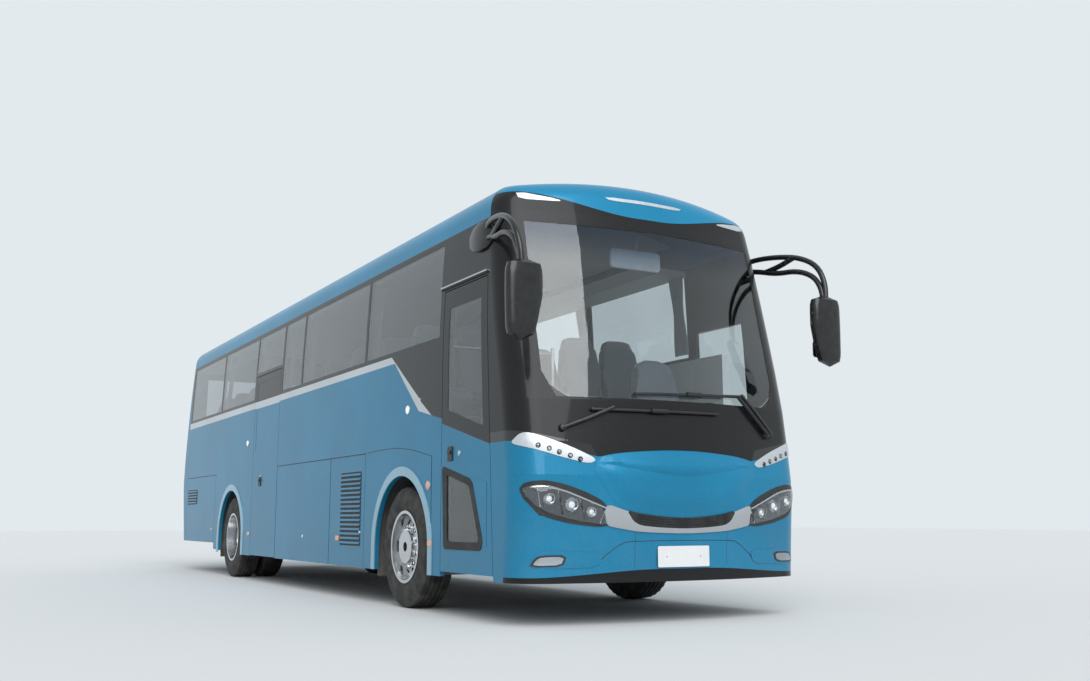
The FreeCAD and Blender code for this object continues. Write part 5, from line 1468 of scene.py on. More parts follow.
@dataclass
class Nose:
    """The moulded forms of the nose: headlamps, fog lamps, marker panels, hood, grille with its frame, lamps above."""

    surround: Outline = (
        (1.241, 0.960), (1.199, 1.004), (1.089, 1.015), (0.948, 0.988), (0.766, 0.923), (0.647, 0.857),
        (0.585, 0.712), (0.687, 0.686), (0.908, 0.712), (1.086, 0.757), (1.170, 0.819), (1.218, 0.890))
    glass: Outline = (
        (1.229, 0.953), (1.183, 0.976), (1.089, 0.982), (0.948, 0.951), (0.781, 0.883), (0.672, 0.827),
        (0.610, 0.722), (0.660, 0.704), (0.873, 0.735), (1.064, 0.783), (1.151, 0.838), (1.202, 0.898))
    marker: Outline = (
        (1.262, 1.288), (1.227, 1.343), (1.186, 1.352), (1.074, 1.317), (0.899, 1.256), (0.705, 1.167),
        (0.760, 1.131), (0.941, 1.171), (1.114, 1.221), (1.250, 1.262))
    hood: Outline = (
        (0.0, 0.752), (0.211, 0.763), (0.378, 0.784), (0.482, 0.808), (0.575, 0.860), (0.660, 0.985), (0.735, 1.085),
        (0.705, 1.167), (0.650, 1.193), (0.524, 1.214), (0.361, 1.228), (0.149, 1.241), (0.0, 1.242))
    hood_top: Outline = (
        (0.0, 0.985), (0.212, 1.005), (0.418, 1.040), (0.612, 1.090), (0.700, 1.125), (0.690, 1.166),
        (0.650, 1.188), (0.524, 1.209), (0.361, 1.223), (0.149, 1.236), (0.0, 1.237))
    bright: Outline = (
        (0.0, 0.640), (0.374, 0.653), (0.560, 0.682), (0.640, 0.700), (0.660, 0.790), (0.640, 0.850),
        (0.482, 0.800), (0.378, 0.776), (0.211, 0.755), (0.0, 0.744))
    mesh: Outline = (
        (0.0, 0.676), (0.209, 0.684), (0.375, 0.699), (0.437, 0.730), (0.486, 0.806), (0.378, 0.784),
        (0.211, 0.763), (0.0, 0.752))
    # The width, the height and the radius
    barrels: tuple[Point, ...] = ((0.760, 0.795, 0.040), (0.905, 0.845, 0.052), (1.065, 0.885, 0.045))
    blades: tuple[tuple[Spot, Spot], ...] = (
        ((0.690, 0.716), (0.655, 0.800)), ((0.800, 0.735), (0.850, 0.905)), ((0.965, 0.770), (1.000, 0.955)),
        ((1.120, 0.830), (1.140, 0.972)))
    brow: Outline = ((0.650, 0.822), (0.781, 0.872), (0.948, 0.939), (1.089, 0.970), (1.180, 0.964))
    leds: Outline = ((1.125, 1.258), (1.051, 1.237), (0.981, 1.212), (0.904, 1.188), (0.832, 1.164))
    fog: Outline = ((1.158, 0.424), (1.138, 0.462), (1.106, 0.483), (0.946, 0.485), (0.966, 0.428))
    fog_surround: Outline = ((1.178, 0.414), (1.152, 0.470), (1.113, 0.495), (0.925, 0.497), (0.950, 0.417))
    fog_field: Outline = ((1.188, 0.406), (1.148, 0.500), (1.105, 0.524), (0.870, 0.520), (0.650, 0.508),
                          (0.700, 0.410), (0.950, 0.404))
    roof_corner: Outline = ((1.085, 3.222), (0.755, 3.176), (0.752, 3.160), (1.075, 3.156))
    roof_middle: Outline = ((0.0, 3.222), (0.330, 3.218), (0.372, 3.244), (0.0, 3.250))
    bar_level: float = 0.706
    bar_rise: float = 0.19
    bar_shifts: tuple[float, ...] = (-0.018, 0.0, 0.018, 0.036)

    def headlamp(self, skin: Skin, side: Side) -> None:
        """Builds one headlamp unit: black surround, bright bowls and blades, and a clear cover.

        Args:
            skin: the nose's surface.
            side: the side of the coach.
        """
        label, sign = side.name.lower(), side.value
        glass = smoothed(sided(self.glass, side))
        SkinPanel(smoothed(sided(self.surround, side)), 0.004).build(f"headlamp_surround_{label}", skin, BLACK_ABS)
        SkinPanel(glass, 0.0055).build(f"headlamp_backing_{label}", skin, BLACK_CHROME)
        bowls, bulbs, blades = bmesh.new(), bmesh.new(), bmesh.new()
        for y, z, radius in self.barrels:
            found = skin.front(sign * y, z)
            if not found:
                continue
            point, normal = found
            aim = (normal + Vector((1.0, 0, 0))).normalized()
            bowl = ((0.0, 1.02), (0.010, 1.02), (0.012, 0.97), (0.006, 0.80), (0.0035, 0.52), (0.0030, 0.10))
            bulb = ((0.0, 0.46), (0.006, 0.46), (0.010, 0.36), (0.012, 0.16), (0.0122, 0.02))
            turned(bowls, point + aim * 0.003, aim, [(way, share * radius) for way, share in bowl], 36)
            turned(bulbs, point + aim * 0.005, aim, [(way, share * radius) for way, share in bulb], 28)
        for low, high in self.blades:
            ends = [skin.front(sign * y, z) for y, z in (low, high)]
            if all(ends):
                tube(blades, [end[0] + end[1] * 0.008 for end in ends], 0.0055, 6)
        line = [skin.front(sign * y, z) for y, z in smoothed(list(self.brow), 2, closed=False)]
        if all(line):
            tube(blades, [spot[0] + spot[1] * 0.009 for spot in line], 0.0075, 8)
        piece(f"headlamp_bowls_{label}", bowls, REFLECTOR)
        piece(f"headlamp_projectors_{label}", bulbs, WHITE_LED)
        piece(f"headlamp_blades_{label}", blades, CHROME)
        SkinPanel(glass, 0.010, 0.010, foot=-0.0075).build(f"headlamp_cover_{label}", skin, LENS, 0.05)

    def fog_lamp(self, skin: Skin, side: Side) -> None:
        """Builds one fog lamp: painted field, black surround, bright backing and clear cover.

        Args:
            skin: the nose's surface.
            side: the side of the coach.
        """
        label = side.name.lower()
        lens = smoothed(sided(self.fog, side), 1)
        for name, outline, proud, finish in (
                ("fog_field", smoothed(sided(self.fog_field, side), 1), 0.005, BLUE_BUMPER),
                ("fog_surround", smoothed(sided(self.fog_surround, side), 1), 0.008, BLACK_ABS),
                ("fog_reflector", lens, 0.0095, SATIN)):
            SkinPanel(outline, proud).build(f"{name}_{label}", skin, finish)
        SkinPanel(lens, 0.012, 0.004, foot=-0.006).build(f"fog_cover_{label}", skin, LENS, 0.02)

    def marker_panel(self, skin: Skin, side: Side) -> None:
        """Builds one bright corner panel with its five lamps.

        Args:
            skin: the nose's surface.
            side: the side of the coach.
        """
        label, sign = side.name.lower(), side.value
        SkinPanel(smoothed(sided(self.marker, side)), 0.005, 0.004).build(f"marker_panel_{label}", skin, SATIN, 0.03)
        rims, lamps = bmesh.new(), bmesh.new()
        for y, z in self.leds:
            found = skin.front(sign * y, z)
            if found:
                point, normal = found
                turned(rims, point + normal * 0.004, normal, [(0.0, 0.019), (0.0065, 0.0185), (0.008, 0.0165),
                                                              (0.007, 0.014), (0.004, 0.012)], 22)
                turned(lamps, point + normal * 0.004, normal, [(0.0, 0.013), (0.006, 0.0125), (0.009, 0.008),
                                                               (0.0095, 0.001)], 18)
        piece(f"marker_rims_{label}", rims, BLACK_CHROME)
        piece(f"marker_lamps_{label}", lamps, LENS)

    def centre(self, skin: Skin) -> None:
        """Builds the hood with its crease, the bright frame and the grille's slats.

        Args:
            skin: the nose's surface.
        """
        bm = bmesh.new()
        SkinPanel(smoothed(mirrored(self.hood)), proud=0.002, swell=0.022).add(bm, skin, 0.16)
        SkinPanel(smoothed(mirrored(self.hood_top)), proud=0.004, swell=0.040).add(bm, skin, 0.12)
        piece("hood_panel", bm, BLUE)
        SkinPanel(smoothed(mirrored(self.bright), 1), 0.010, 0.004).build("grille_frame", skin, CHROME, 0.02)
        bm = bmesh.new()
        SkinPanel(smoothed(mirrored(self.mesh), 1), proud=0.0145).add(bm, skin)
        for shift in self.bar_shifts:
            line = [skin.front(y / 20, self.bar_level + shift + self.bar_rise * (y / 20) ** 2) for y in range(-8, 9)]
            if all(line):
                tube(bm, [spot[0] + Vector((0.016, 0, 0)) for spot in line], 0.0035, 6)
        piece("grille_mesh", bm, SEAL)

    def roof_lamps(self, skin: Skin) -> None:
        """Builds the lamps along the cap's edge.

        Args:
            skin: the cap's surface.
        """
        bm = bmesh.new()
        for side in Side:
            SkinPanel(smoothed(sided(self.roof_corner, side), 1), 0.004).add(bm, skin)
        piece("roof_corner_lamps", bm, SATIN)
        SkinPanel(smoothed(mirrored(self.roof_middle), 1), 0.004).build("roof_middle_lamp", skin, SATIN)

    def build(self) -> None:
        """Builds the nose's forms."""
        # The solids have an opening at the grille and another round the fog lamps: half width, lower and upper edge
        skin = BridgedSkin(("front_panel", "front_lamps", "front_bumper", "front_mask", "front_grille"),
                           0.62, 0.655, 0.850)
        low_skin = BridgedSkin(("front_bumper", "front_panel"), 1.25, 0.400, 0.535)
        for side in Side:
            self.headlamp(skin, side)
            self.fog_lamp(low_skin, side)
            self.marker_panel(skin, side)
        self.centre(skin)
        self.roof_lamps(Skin("front_cap"))


@dataclass
class Louvres:
    """The slatted air grilles on the flaps of both flanks: the tall one ahead of the bays, the low one at the tail."""

    slat_height: float = 0.020
    slat_depth: float = 0.009
    # The flap's end of the coach, the rear and front edge, the lower and upper edge, and the count of slats
    grilles: tuple[tuple[str, float, float, float, float, int], ...] = (
        ("front", 1.72, 2.29, 0.500, 1.180, 16), ("rear", -5.28, -4.66, 0.958, 1.160, 5))

    def slat(self, long: float) -> Mesh:
        """Builds one slat along Y, which leans out over the gap below it.

        Args:
            long: its length.

        Returns:
            The slat's mesh.
        """
        bm = bmesh.new()
        half, h, d = long / 2, self.slat_height / 2, self.slat_depth
        section = [(0.0, h), (0.2 * d, h), (d, -0.5 * h), (d, -0.8 * h), (0.75 * d, -h), (0.0, 0.2 * h)]
        loft(bm, [[Vector((z, y, x)) for x, z in section] for y in (-half, -half + 0.004, half - 0.004, half)])
        return bm

    def build(self) -> None:
        """Builds each grille's dark backing, which is painted shade in the openings between the slats, and its slats.
        """
        for end, back, front, low, high, count in self.grilles:
            for side in (Side.RIGHT, Side.LEFT):
                node = f"flap_{side.name.lower()}_{end}"
                middle = (back + front) / 2
                found = Skin(node).flank(side, middle, (low + high) / 2)
                if not found:
                    LOG.warning("no place for the louvres on %s", node)
                    continue
                face = found[0].y
                # The dark sheet behind the slats is painted shade where the grille's openings would show the dark
                # inside
                bm = bmesh.new()
                rounded_slab(bm, Vector((middle, face + side.value * 0.0008, (low + high) / 2)),
                             (0.0025, front - back, high - low + 0.01), 0.015, QUARTER_TURN)
                piece(f"louvre_backing_{node}", bm, SEAL, node)
                pitch = (high - low) / count
                # The slat's X stands up, its Y runs along the coach and its Z points out of it
                turn = Vector(Matrix(((0, -side.value, 0), (0, 0, side.value), (1, 0, 0))).to_euler())
                places = [(Vector((middle, face + side.value * 0.001, low + pitch * (k + 0.5))), turn)
                          for k in range(count)]
                slats = Repeat(f"slats_{node}").bake(f"louvre_slats_{node}", self.slat(front - back - 0.02), places,
                                                     BLUE)
                fit(slats, BLUE, node)


@dataclass
class DoorHead:
    """The bright drip rail with its shadow strip above the front door."""

    back: float = 3.985
    front: float = 4.900
    height: float = 2.612

    def build(self) -> None:
        """Builds the rail on the window band."""
        skin = Skin("window_frames", "side_panels", "front_mask", "front_door", "front_cap", "roof_panel")
        spots = [skin.flank(Side.RIGHT, self.back + (self.front - self.back) * k / 12, self.height) for k in range(13)]
        line = [spot for spot in spots if spot and spot[0].y < -1.1]
        if len(line) < 2:
            LOG.warning("no place for the drip rail")
            return
        rail, strip = bmesh.new(), bmesh.new()
        tube(rail, [spot[0] + Vector((0, -0.010, 0)) for spot in line], 0.009, 10)
        # The dark strip under the rail: painted shadow of the rail, and the rubber of the door's top gap
        tube(strip, [spot[0] + Vector((0, -0.005, -0.014)) for spot in line], 0.009, 8)
        piece("drip_rail", rail, CHROME)
        piece("drip_rail_strip", strip, SEAL)


@dataclass
class PaneFrame:
    """The black frame of the front door's lower pane, whose front edge slants, with a painted corner piece."""

    outer: Outline = (
        (4.150, 1.130), (4.175, 1.154), (4.665, 1.045), (4.710, 1.010), (4.885, 0.600), (4.885, 0.565),
        (4.850, 0.520), (4.815, 0.512), (4.215, 0.512), (4.190, 0.535))
    inner: Outline = (
        (4.240, 1.070), (4.258, 1.084), (4.630, 0.998), (4.655, 0.975), (4.815, 0.605), (4.815, 0.595),
        (4.800, 0.578), (4.785, 0.572), (4.275, 0.572), (4.258, 0.585))
    corner: Outline = ((4.660, 1.060), (4.945, 1.016), (4.945, 0.545), (4.850, 0.545))

    def ring(self, outline: Outline, y: float) -> list[Vector]:
        """Returns an outline's points at one depth."""
        return [Vector((x, y, z)) for x, z in outline]

    def build(self) -> None:
        """Builds the frame and the corner piece on the leaf."""
        skin = Skin("front_door")
        spots = [skin.flank(Side.RIGHT, x, z) for x, z in self.outer]
        face = min(spot[0].y for spot in spots if spot) - 0.001
        rim, corner = bmesh.new(), bmesh.new()
        depths = ((self.outer, face + 0.003), (self.outer, face - 0.004), (self.inner, face - 0.004),
                  (self.inner, face + 0.003), (self.outer, face + 0.003))
        loft(rim, [self.ring(outline, y) for outline, y in depths], capped=False)
        piece("front_door_pane_frame", rim, SEAL, "front_door", smooth=False)
        loft(corner, [self.ring(self.corner, face + 0.002), self.ring(self.corner, face - 0.0015)])
        piece("front_door_corner_piece", corner, BLUE, "front_door", smooth=False)


@dataclass
class OutsideMirrors:
    """The hanging mirrors: tapered heads on looped arms, which grow from pods behind the windscreen's corners."""

    head_x: float = 5.700
    head_y: Span = (1.235, 1.515)
    head_z: Span = (1.950, 2.530)
    depth: float = 0.105
    tube_radius: float = 0.023
    pod_shape: Outline = ((4.56, 0.10), (4.58, 0.55), (4.66, 0.85), (4.76, 1.0), (4.86, 0.95), (4.93, 0.72),
                          (4.96, 0.40))
    # Two looped arms and the brace between them
    strands: tuple[tuple[Point, ...], ...] = (
        ((4.86, 1.245, 2.935), (4.98, 1.290, 2.960), (5.20, 1.340, 2.945), (5.42, 1.380, 2.900), (5.60, 1.405, 2.800),
         (5.69, 1.400, 2.640), (5.70, 1.390, 2.480)),
        ((4.86, 1.245, 2.865), (5.00, 1.285, 2.850), (5.18, 1.330, 2.800), (5.40, 1.370, 2.790), (5.57, 1.390, 2.715),
         (5.66, 1.385, 2.600), (5.69, 1.375, 2.470)),
        ((5.06, 1.305, 2.830), (5.22, 1.340, 2.860), (5.36, 1.362, 2.905)))

    def head(self, bm: Mesh, sign: float) -> None:
        """Adds one tapered, rounded head.

        Args:
            bm: the mesh that takes it.
            sign: the side of the coach.
        """
        inner, outer = self.head_y
        low, high = self.head_z
        middle = (inner + outer) / 2
        rings = []
        for place in range(15):
            way = place / 14
            z = low + (high - low) * way
            full = (1 - abs(2 * way - 1) ** 9) ** 0.4
            wide = (0.36 + 0.14 * min(1.0, way * 1.8)) * (outer - inner) * max(full, 0.05)
            shift = 0.030 * (1 - min(1.0, way * 1.8))
            ring = []
            for k in range(24):
                angle = math.tau * k / 24
                c, s = math.cos(angle), math.sin(angle)
                ring.append(Vector((self.head_x + 0.5 * self.depth * squared(c, 0.7) * max(full, 0.05),
                                    sign * (middle + shift + wide * squared(s, 0.5)), z)))
            rings.append(ring)
        loft(bm, rings)

    def pod(self, bm: Mesh, sign: float) -> None:
        """Adds the pod that carries the arm.

        Args:
            bm: the mesh that takes it.
            sign: the side of the coach.
        """
        rings = []
        for x, scale in self.pod_shape:
            ring = []
            for k in range(20):
                c, s = math.cos(math.tau * k / 20), math.sin(math.tau * k / 20)
                ring.append(Vector((x, sign * (1.232 + 0.0288 * scale * (1 + squared(c, 0.8))),
                                    2.895 + 0.115 * scale * squared(s, 0.8))))
            rings.append(ring)
        loft(bm, rings)

    def build(self) -> None:
        """Builds both mirrors in place of their solid node."""
        for side in Side:
            bm = bmesh.new()
            sign = side.value
            self.head(bm, sign)
            self.pod(bm, sign)
            for strand in self.strands:
                points = [Vector((x, sign * y, z)) for x, y, z in strand]
                for _ in range(2):
                    points = [points[0]] + [p for a, b in zip(points, points[1:])
                                            for p in (a.lerp(b, 0.25), a.lerp(b, 0.75))] + [points[-1]]
                tube(bm, points, self.tube_radius, 14)
            item = as_object(f"outside_mirror_{side.name.lower()}", bm, GLOSS_ABS)
            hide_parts("mirrors")
            fit(item, GLOSS_ABS)
        for side in Side:
            bm = bmesh.new()
            middle = side.value * (sum(self.head_y) / 2 + 0.004)
            for z, tall in ((2.330, 0.26), (2.095, 0.14)):
                rounded_slab(bm, Vector((self.head_x - self.depth / 2 - 0.001, middle, z)), (0.005, 0.20, tall), 0.025)
            piece(f"mirror_glass_{side.name.lower()}", bm, MIRROR)


@dataclass
class Wipers:
    """The two parked wipers: arms from the cowl, and blades that lie level on the lower glass."""

    arms: tuple[Outline, ...] = (
        ((-0.947, 1.384), (-0.760, 1.455), (-0.556, 1.541)), ((0.892, 1.391), (0.745, 1.530), (0.599, 1.676)),
        ((0.930, 1.400), (0.790, 1.545), (0.640, 1.690)))
    blades: tuple[tuple[Spot, Spot], ...] = (
        ((-0.729, 1.522), (0.368, 1.529)), ((-0.374, 1.647), (0.679, 1.681)))
    pivots: Outline = ((-0.947, 1.384), (0.892, 1.391), (0.930, 1.400))

    def along(self, skin: Skin, start: Spot, end: Spot, lift: float) -> list[Vector]:
        """Returns points at one height above the surface between two places.

        Args:
            skin: the glass and mask.
            start: the first width and height.
            end: the last width and height.
            lift: the height above the surface.

        Returns:
            The points.
        """
        spots = [skin.front(start[0] + (end[0] - start[0]) * k / 12, start[1] + (end[1] - start[1]) * k / 12)
                 for k in range(13)]
        return [spot[0] + spot[1] * lift for spot in spots if spot]

    def build(self) -> None:
        """Builds the wipers in place of their solid node."""
        skin = Skin("windscreen", "front_mask", "front_panel")
        metal, rubber = bmesh.new(), bmesh.new()
        for places in self.arms:
            for start, end in zip(places, places[1:]):
                tube(metal, self.along(skin, start, end, 0.030), 0.0145, 8)
        for start, end in self.blades:
            tube(metal, self.along(skin, start, end, 0.022), 0.0120, 8)
            tube(rubber, self.along(skin, start, end, 0.008), 0.0065, 6)
            middle = ((start[0] + end[0]) / 2, (start[1] + end[1]) / 2)
            tube(metal, self.along(skin, (middle[0] - 0.07, middle[1]), (middle[0] + 0.07, middle[1]), 0.028), 0.019, 8)
        for y, z in self.pivots:
            spot = skin.front(y, z)
            if spot:
                turned(metal, spot[0] - spot[1] * 0.002, spot[1], [(0.0, 0.030), (0.020, 0.027), (0.036, 0.020),
                                                                  (0.040, 0.008)], 20)
        item = as_object("wiper_arms", metal, BLACK_ABS)
        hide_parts("wipers")
        fit(item, BLACK_ABS)
        piece("wiper_rubbers", rubber, SEAL)


@dataclass
class BumperSeams:
    """The dark joint lines of the front bumper: the raised middle's edge and the two upright joints."""

    rise: Outline = (
        (0.701, 0.433), (0.672, 0.462), (0.643, 0.488), (0.594, 0.523), (0.545, 0.557), (0.491, 0.581),
        (0.450, 0.585), (0.412, 0.587), (0.300, 0.589), (0.200, 0.590), (0.100, 0.591), (0.0, 0.591))
    upright_y: float = 0.410
    upright: Span = (0.645, 0.405)
    wide: float = 0.0028

    def line(self, bm: Mesh, skin: Skin, places: list[Spot], wide: float) -> None:
        """Adds one joint along the surface.

        Args:
            bm: the mesh that takes it.
            skin: the surface that it follows.
            places: widths and heights along the joint.
            wide: the joint's half width.
        """
        points = [found[0] - found[1] * wide * 0.55 for found in (skin.front(y, z) for y, z in places) if found]
        if len(points) > 1:
            tube(bm, points, wide, 6)

    def build(self) -> None:
        """Builds the joints."""
        skin = Skin("front_bumper", "front_panel", "front_grille")
        bm = bmesh.new()
        both = [(y, z) for y, z in self.rise] + [(-y, z) for y, z in reversed(self.rise[:-1])]
        self.line(bm, skin, both, self.wide * 1.3)
        for side in Side:
            high, low = self.upright
            self.line(bm, skin, [(side.value * self.upright_y, high + (low - high) * k / 10) for k in range(11)],
                      self.wide * 0.6)
        piece("bumper_joints", bm, SEAL)


@dataclass
class CabinLining:
    """Light inner panels: under the windows on both sides, and the arched ceiling between the racks."""

    inner_y: float = 1.2265
    thick: float = 0.004
    low: float = 1.358
    high: float = 2.185
    boards: int = 24
    # The side, the rear end and the front end
    spans: tuple[tuple[Side, float, float], ...] = (
        (Side.LEFT, -5.35, 4.55), (Side.RIGHT, -5.35, -1.70), (Side.RIGHT, -0.44, 3.93))
    ceiling: Span = (-5.25, 4.30)
    crown: float = 3.305
    edge: float = 3.165
    half: float = 0.86

    def build(self) -> None:
        """Builds the side linings and the ceiling."""
        bm = bmesh.new()
        for side, back, front in self.spans:
            for k in range(self.boards):
                start, end = (back + (front - back) * step / self.boards for step in (k, k + 1))
                rounded_slab(bm, Vector(((start + end) / 2, side.value * self.inner_y, (self.low + self.high) / 2)),
                             (self.thick, end - start - 0.004, self.high - self.low), 0.012, QUARTER_TURN)
        piece("side_linings", bm, CABIN_ABS)
        arch = bmesh.new()
        rings = []
        for x in (self.ceiling[0], self.ceiling[0] + 2.4, self.ceiling[1] - 2.4, self.ceiling[1]):
            top = [Vector((x, self.half * (1 - k / 8), self.crown - (self.crown - self.edge) * (1 - k / 8) ** 2))
                   for k in range(17)]
            rings.append(top + [p - Vector((0, 0, 0.006)) for p in reversed(top)])
        loft(arch, rings)
        piece("ceiling_panel", arch, CABIN_ABS)


@dataclass
class FlankFittings:
    """Side lamps, tail lamps, panel seams, door handles and locks, each on the part that carries it."""

    lock_radius: float = 0.017
    # The part, the length and the height
    locks: tuple[tuple[str, float, float], ...] = (
        ("flap_right_front", 2.27, 0.62), ("flap_right_mid", 0.505, 0.559), ("flap_right_rear", -3.70, 0.60),
        ("flap_left_front", 2.27, 0.62), ("flap_left_mid", 0.505, 0.559), ("flap_left_rear", -3.70, 0.60),
        ("front_door", 4.457, 1.249), ("mid_door", -1.259, 1.244))
    # The length, the height, the radius and the lens
    round_lamps: tuple[tuple[float, float, float, Finish], ...] = (
        (3.405, 1.669, 0.036, WHITE_LED), (-1.887, 1.684, 0.036, WHITE_LED), (3.864, 1.014, 0.034, AMBER_LAMP),
        (-1.709, 0.559, 0.028, AMBER_LAMP))
    # The part, its body, the length and the height
    bar_lamps: tuple[tuple[str, str, float, float], ...] = (
        ("side_panels", BODY, 3.923, 0.550), ("flap_right_front", "flap_right_front", 1.657, 0.560))
    bar_size: Point = (0.014, 0.075, 0.048)
    seams: tuple[Outline, ...] = (
        ((2.37, 1.345), (2.75, 1.357), (3.15, 1.357), (3.50, 1.325), (3.93, 1.250)),
        ((3.93, 1.250), (3.93, 1.000), (3.93, 0.700), (3.93, 0.400)))
    seam_radius: float = 0.0022
    flank_y: float = 1.15
    tail_y: float = 1.065
    tail_heights: Point = (0.62, 0.80, 0.98)
    handles: tuple[tuple[str, float, float], ...] = (("front_door", 4.300, 1.249), ("mid_door", -1.259, 1.190))

    def side_lamps(self) -> None:
        """Builds the round side lamps on both flanks, where the panel is there, and the oblong ones on the right."""
        skin = Skin("side_panels")
        for number, (x, z, radius, glass) in enumerate(self.round_lamps, 1):
            dome, rim = bmesh.new(), bmesh.new()
            for side in Side:
                found = skin.flank(side, x, z)
                if not found or abs(found[0].y) < self.flank_y:
                    continue
                point, normal = found
                turned(rim, point - normal * 0.001, normal, [
                    (0.0, 1.12 * radius), (0.006, 1.10 * radius), (0.008, 1.0 * radius), (0.004, 0.92 * radius)], 28)
                turned(dome, point, normal, [(0.0, 0.95 * radius), (0.009, 0.93 * radius), (0.013, 0.7 * radius),
                                             (0.0145, 0.3 * radius), (0.0147, 0.02 * radius)], 28)
            piece(f"round_lamp_{number}", dome, glass)
            piece(f"round_lamp_rim_{number}", rim, SATIN)
        for number, (node, body, x, z) in enumerate(self.bar_lamps, 1):
            found = Skin(node).flank(Side.RIGHT, x, z)
            if found:
                bm = bmesh.new()
                rounded_slab(bm, found[0] + Vector((0, -0.006, 0)), self.bar_size, 0.008, QUARTER_TURN)
                piece(f"oblong_lamp_{number}", bm, AMBER_LAMP, body)

    def flank_seams(self) -> None:
        """Builds the joints round the locker lid over the front arch."""
        bm = bmesh.new()
        skin = Skin("side_panels")
        for side in Side:
            for line in self.seams:
                spots = [skin.flank(side, x, z) for x, z in smoothed(list(line), 2, closed=False)]
                kept = [spot[0] + spot[1] * 0.0005 for spot in spots if spot and abs(spot[0].y) > self.flank_y]
                if len(kept) > 2:
                    tube(bm, kept, self.seam_radius, 6)
        piece("flank_seams", bm, SEAL)

    def tail_lamps(self) -> None:
        """Builds the round lamps of the tail clusters, with their rims."""
        domes, rims = bmesh.new(), bmesh.new()
        skin = Skin("tail_lamps")
        for side in Side:
            for z in self.tail_heights:
                found = skin.rear(side.value * self.tail_y, z)
                if found:
                    turned(rims, *found, [(0.0, 0.064), (0.008, 0.062), (0.010, 0.058), (0.004, 0.052)], 32)
                    turned(domes, *found, [(0.0, 0.054), (0.008, 0.052), (0.016, 0.040), (0.021, 0.020),
                                           (0.022, 0.001)], 32)
        piece("tail_round_lamps", domes, RED_LENS)
        piece("tail_lamp_rims", rims, SATIN)

    def door_handles(self) -> None:
        """Builds a recessed plate with its pull on each door."""
        for node, x, z in self.handles:
            found = Skin(node).flank(Side.RIGHT, x, z)
            if found:
                bm = bmesh.new()
                for shift, size, radius in ((Vector((0, -0.004, 0)), (0.012, 0.085, 0.115), 0.014),
                                            (Vector((0, -0.014, 0.012)), (0.012, 0.058, 0.030), 0.010)):
                    rounded_slab(bm, found[0] + shift, size, radius, QUARTER_TURN)
                piece(f"handle_{node}", bm, BLACK_ABS, node)

    def key_locks(self) -> None:
        """Builds a lock with its bezel on each flap and door."""
        for node, x, z in self.locks:
            found = Skin(node).flank(Side.LEFT if "left" in node else Side.RIGHT, x, z)
            if not found:
                LOG.warning("no place for the lock on %s", node)
                continue
            point, normal = found
            bm = bmesh.new()
            shape = ((0.0, 1.35), (0.0035, 1.30), (0.005, 1.05), (0.0035, 0.95), (0.0035, 0.45), (0.006, 0.40),
                     (0.006, 0.05))
            turned(bm, point - normal * 0.001, normal, [(way, share * self.lock_radius) for way, share in shape], 28)
            piece(f"lock_{node}", bm, CHROME, node)

    def build(self) -> None:
        """Builds all fittings."""
        self.side_lamps()
        self.flank_seams()
        self.tail_lamps()
        self.door_handles()
        self.key_locks()


@dataclass
class Cab:
    """What shows through the windscreen: the inside mirror and the instrument hood."""

    mirror: Point = (5.02, 0.0, 2.80)

    def build(self) -> None:
        """Builds the cab's fittings."""
        glass = bmesh.new()
        rounded_slab(glass, Vector(self.mirror), (0.03, 0.48, 0.16), 0.03)
        tube(glass, [Vector(self.mirror) + Vector((0.0, 0.0, 0.07)), Vector(self.mirror) + Vector((0.06, 0.0, 0.24))],
             0.009)
        piece("inside_mirror", glass, CABIN_ABS)
        _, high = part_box("dashboard")
        wheel_low, wheel_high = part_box("steering_wheel")
        hood = bmesh.new()
        middle = (wheel_low[1] + wheel_high[1]) / 2
        rounded_slab(hood, Vector((wheel_high[0] + 0.13, middle, high[2] - 0.015)), (0.14, 0.46, 0.10), 0.045)
        piece("instrument_hood", hood, DASH_ABS)


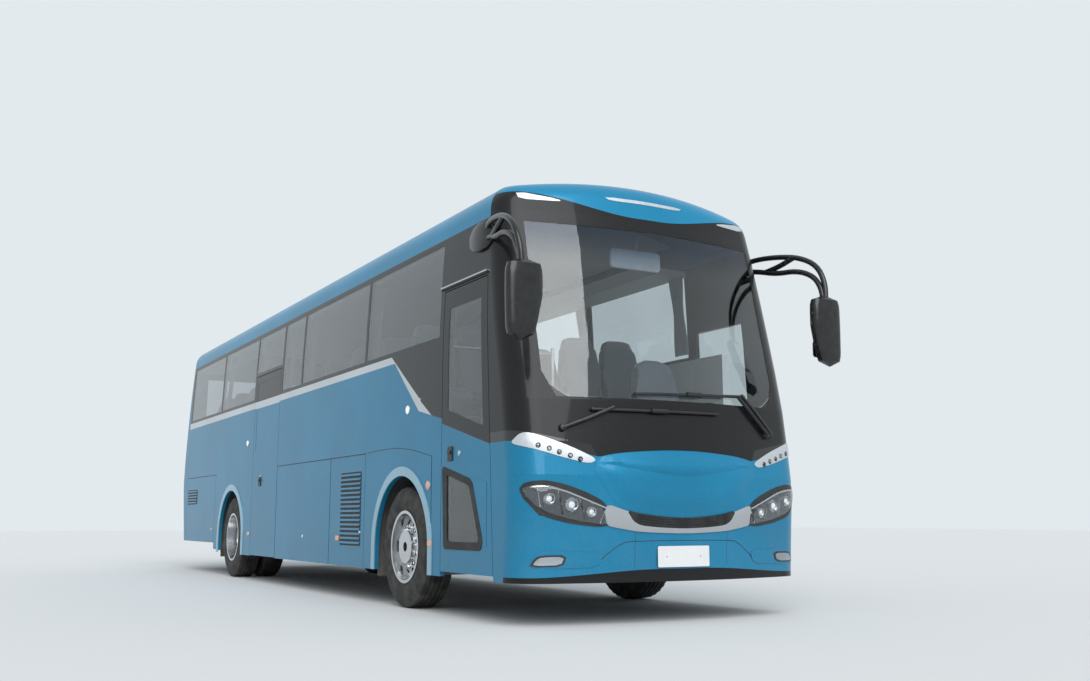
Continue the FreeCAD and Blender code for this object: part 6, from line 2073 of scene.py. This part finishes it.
@dataclass
class Studio:
    """The camera at the photograph's viewpoint, a pale floor and plain soft light."""

    eye: Point = (12.425, -4.955, 0.750)
    yaw_deg: float = 29.13
    pitch_deg: float = 8.95
    lens_mm: float = 37.28
    sensor_mm: float = 36.0
    floor_half: float = 60.0
    ground: str = "D9DBDC"
    sky: str = "E3EAEE"
    sky_shown: float = 0.35
    sky_light: float = 0.65
    sun_power: float = 2.6
    sun_angle_deg: float = 55.0
    sun_way: Point = (-0.74, 0.22, -0.63)

    def camera(self) -> None:
        """Sets the camera."""
        data = bpy.data.cameras.new("view")
        data.lens = self.lens_mm
        data.sensor_width = self.sensor_mm
        data.sensor_fit = "HORIZONTAL"
        data.clip_end = 500.0
        item = bpy.data.objects.new("view", data)
        yaw, pitch = math.radians(self.yaw_deg), math.radians(self.pitch_deg)
        aim = Vector((-math.cos(yaw) * math.cos(pitch), math.sin(yaw) * math.cos(pitch), math.sin(pitch)))
        item.location = Vector(self.eye)
        item.rotation_euler = aim.to_track_quat("-Z", "Y").to_euler()
        bpy.context.scene.collection.objects.link(item)
        bpy.context.scene.camera = item

    def floor(self) -> None:
        """Lays the plain pale floor."""
        bm = bmesh.new()
        h = self.floor_half
        bm.faces.new([bm.verts.new((x, y, 0.0)) for x, y in ((-h, -h), (h, -h), (h, h), (-h, h))])
        material = bpy.data.materials.new("studio_floor")
        material.use_nodes = True
        wire(material.node_tree.nodes["Principled BSDF"], {"Roughness": 0.9, "Base Color": linear(self.ground)})
        mesh = bpy.data.meshes.new("studio_floor")
        bm.to_mesh(mesh)
        bm.free()
        mesh.materials.append(material)
        item = bpy.data.objects.new("studio_floor", mesh)
        bpy.context.scene.collection.objects.link(item)

    def light(self) -> None:
        """Sets an even sky and one broad, soft sun from ahead and the right."""
        world = bpy.data.worlds.new("studio_sky")
        world.use_nodes = True
        tree = world.node_tree
        # The sky looks brighter to the camera, in reflections and through glass than it lights the coach
        rays = put(tree, "ShaderNodeLightPath").node.outputs
        bent = put(tree, MATH, (rays["Is Glossy Ray"], rays["Is Transmission Ray"]), operation="MAXIMUM")
        seen = put(tree, MATH, (rays["Is Camera Ray"], bent), operation="MAXIMUM")
        power = put(tree, MATH, (seen, self.sky_shown, self.sky_light), operation="MULTIPLY_ADD")
        wire(tree.nodes["Background"], {"Color": linear(self.sky), "Strength": power})
        bpy.context.scene.world = world
        data = bpy.data.lights.new("soft_sun", "SUN")
        data.energy = self.sun_power
        data.angle = math.radians(self.sun_angle_deg)
        item = bpy.data.objects.new("soft_sun", data)
        item.rotation_euler = Vector(self.sun_way).to_track_quat("-Z", "Y").to_euler()
        bpy.context.scene.collection.objects.link(item)

    def build(self) -> None:
        """Builds the studio."""
        self.camera()
        self.floor()
        self.light()


def dress_nodes() -> None:
    """Gives every solid node its finish."""
    for name, finish in NODE_FINISHES.items():
        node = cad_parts[name]
        if not node.data.materials:
            node.data.materials.append(finish.material())
        for slot in node.material_slots:
            slot.material = finish.material()
    bare = sorted(set(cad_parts) - set(NODE_FINISHES))
    if bare:
        LOG.warning("nodes without a finish: %s", bare)


def main() -> None:
    """Builds the studio, then every sub-assembly in order."""
    logging.basicConfig(level=logging.INFO, format="%(name)s %(message)s")
    bpy.context.scene.view_settings.view_transform = "Standard"
    Studio().build()
    dress_nodes()
    for part in (Wheels(), Seats(), Curtains(), CabinLining(), Nose(), BumperSeams(), Wipers(), Plates(), Louvres(),
                 DoorHead(), PaneFrame(), FlankFittings(), OutsideMirrors(), Cab()):
        part.build()


if __name__ == "__main__":
    main()
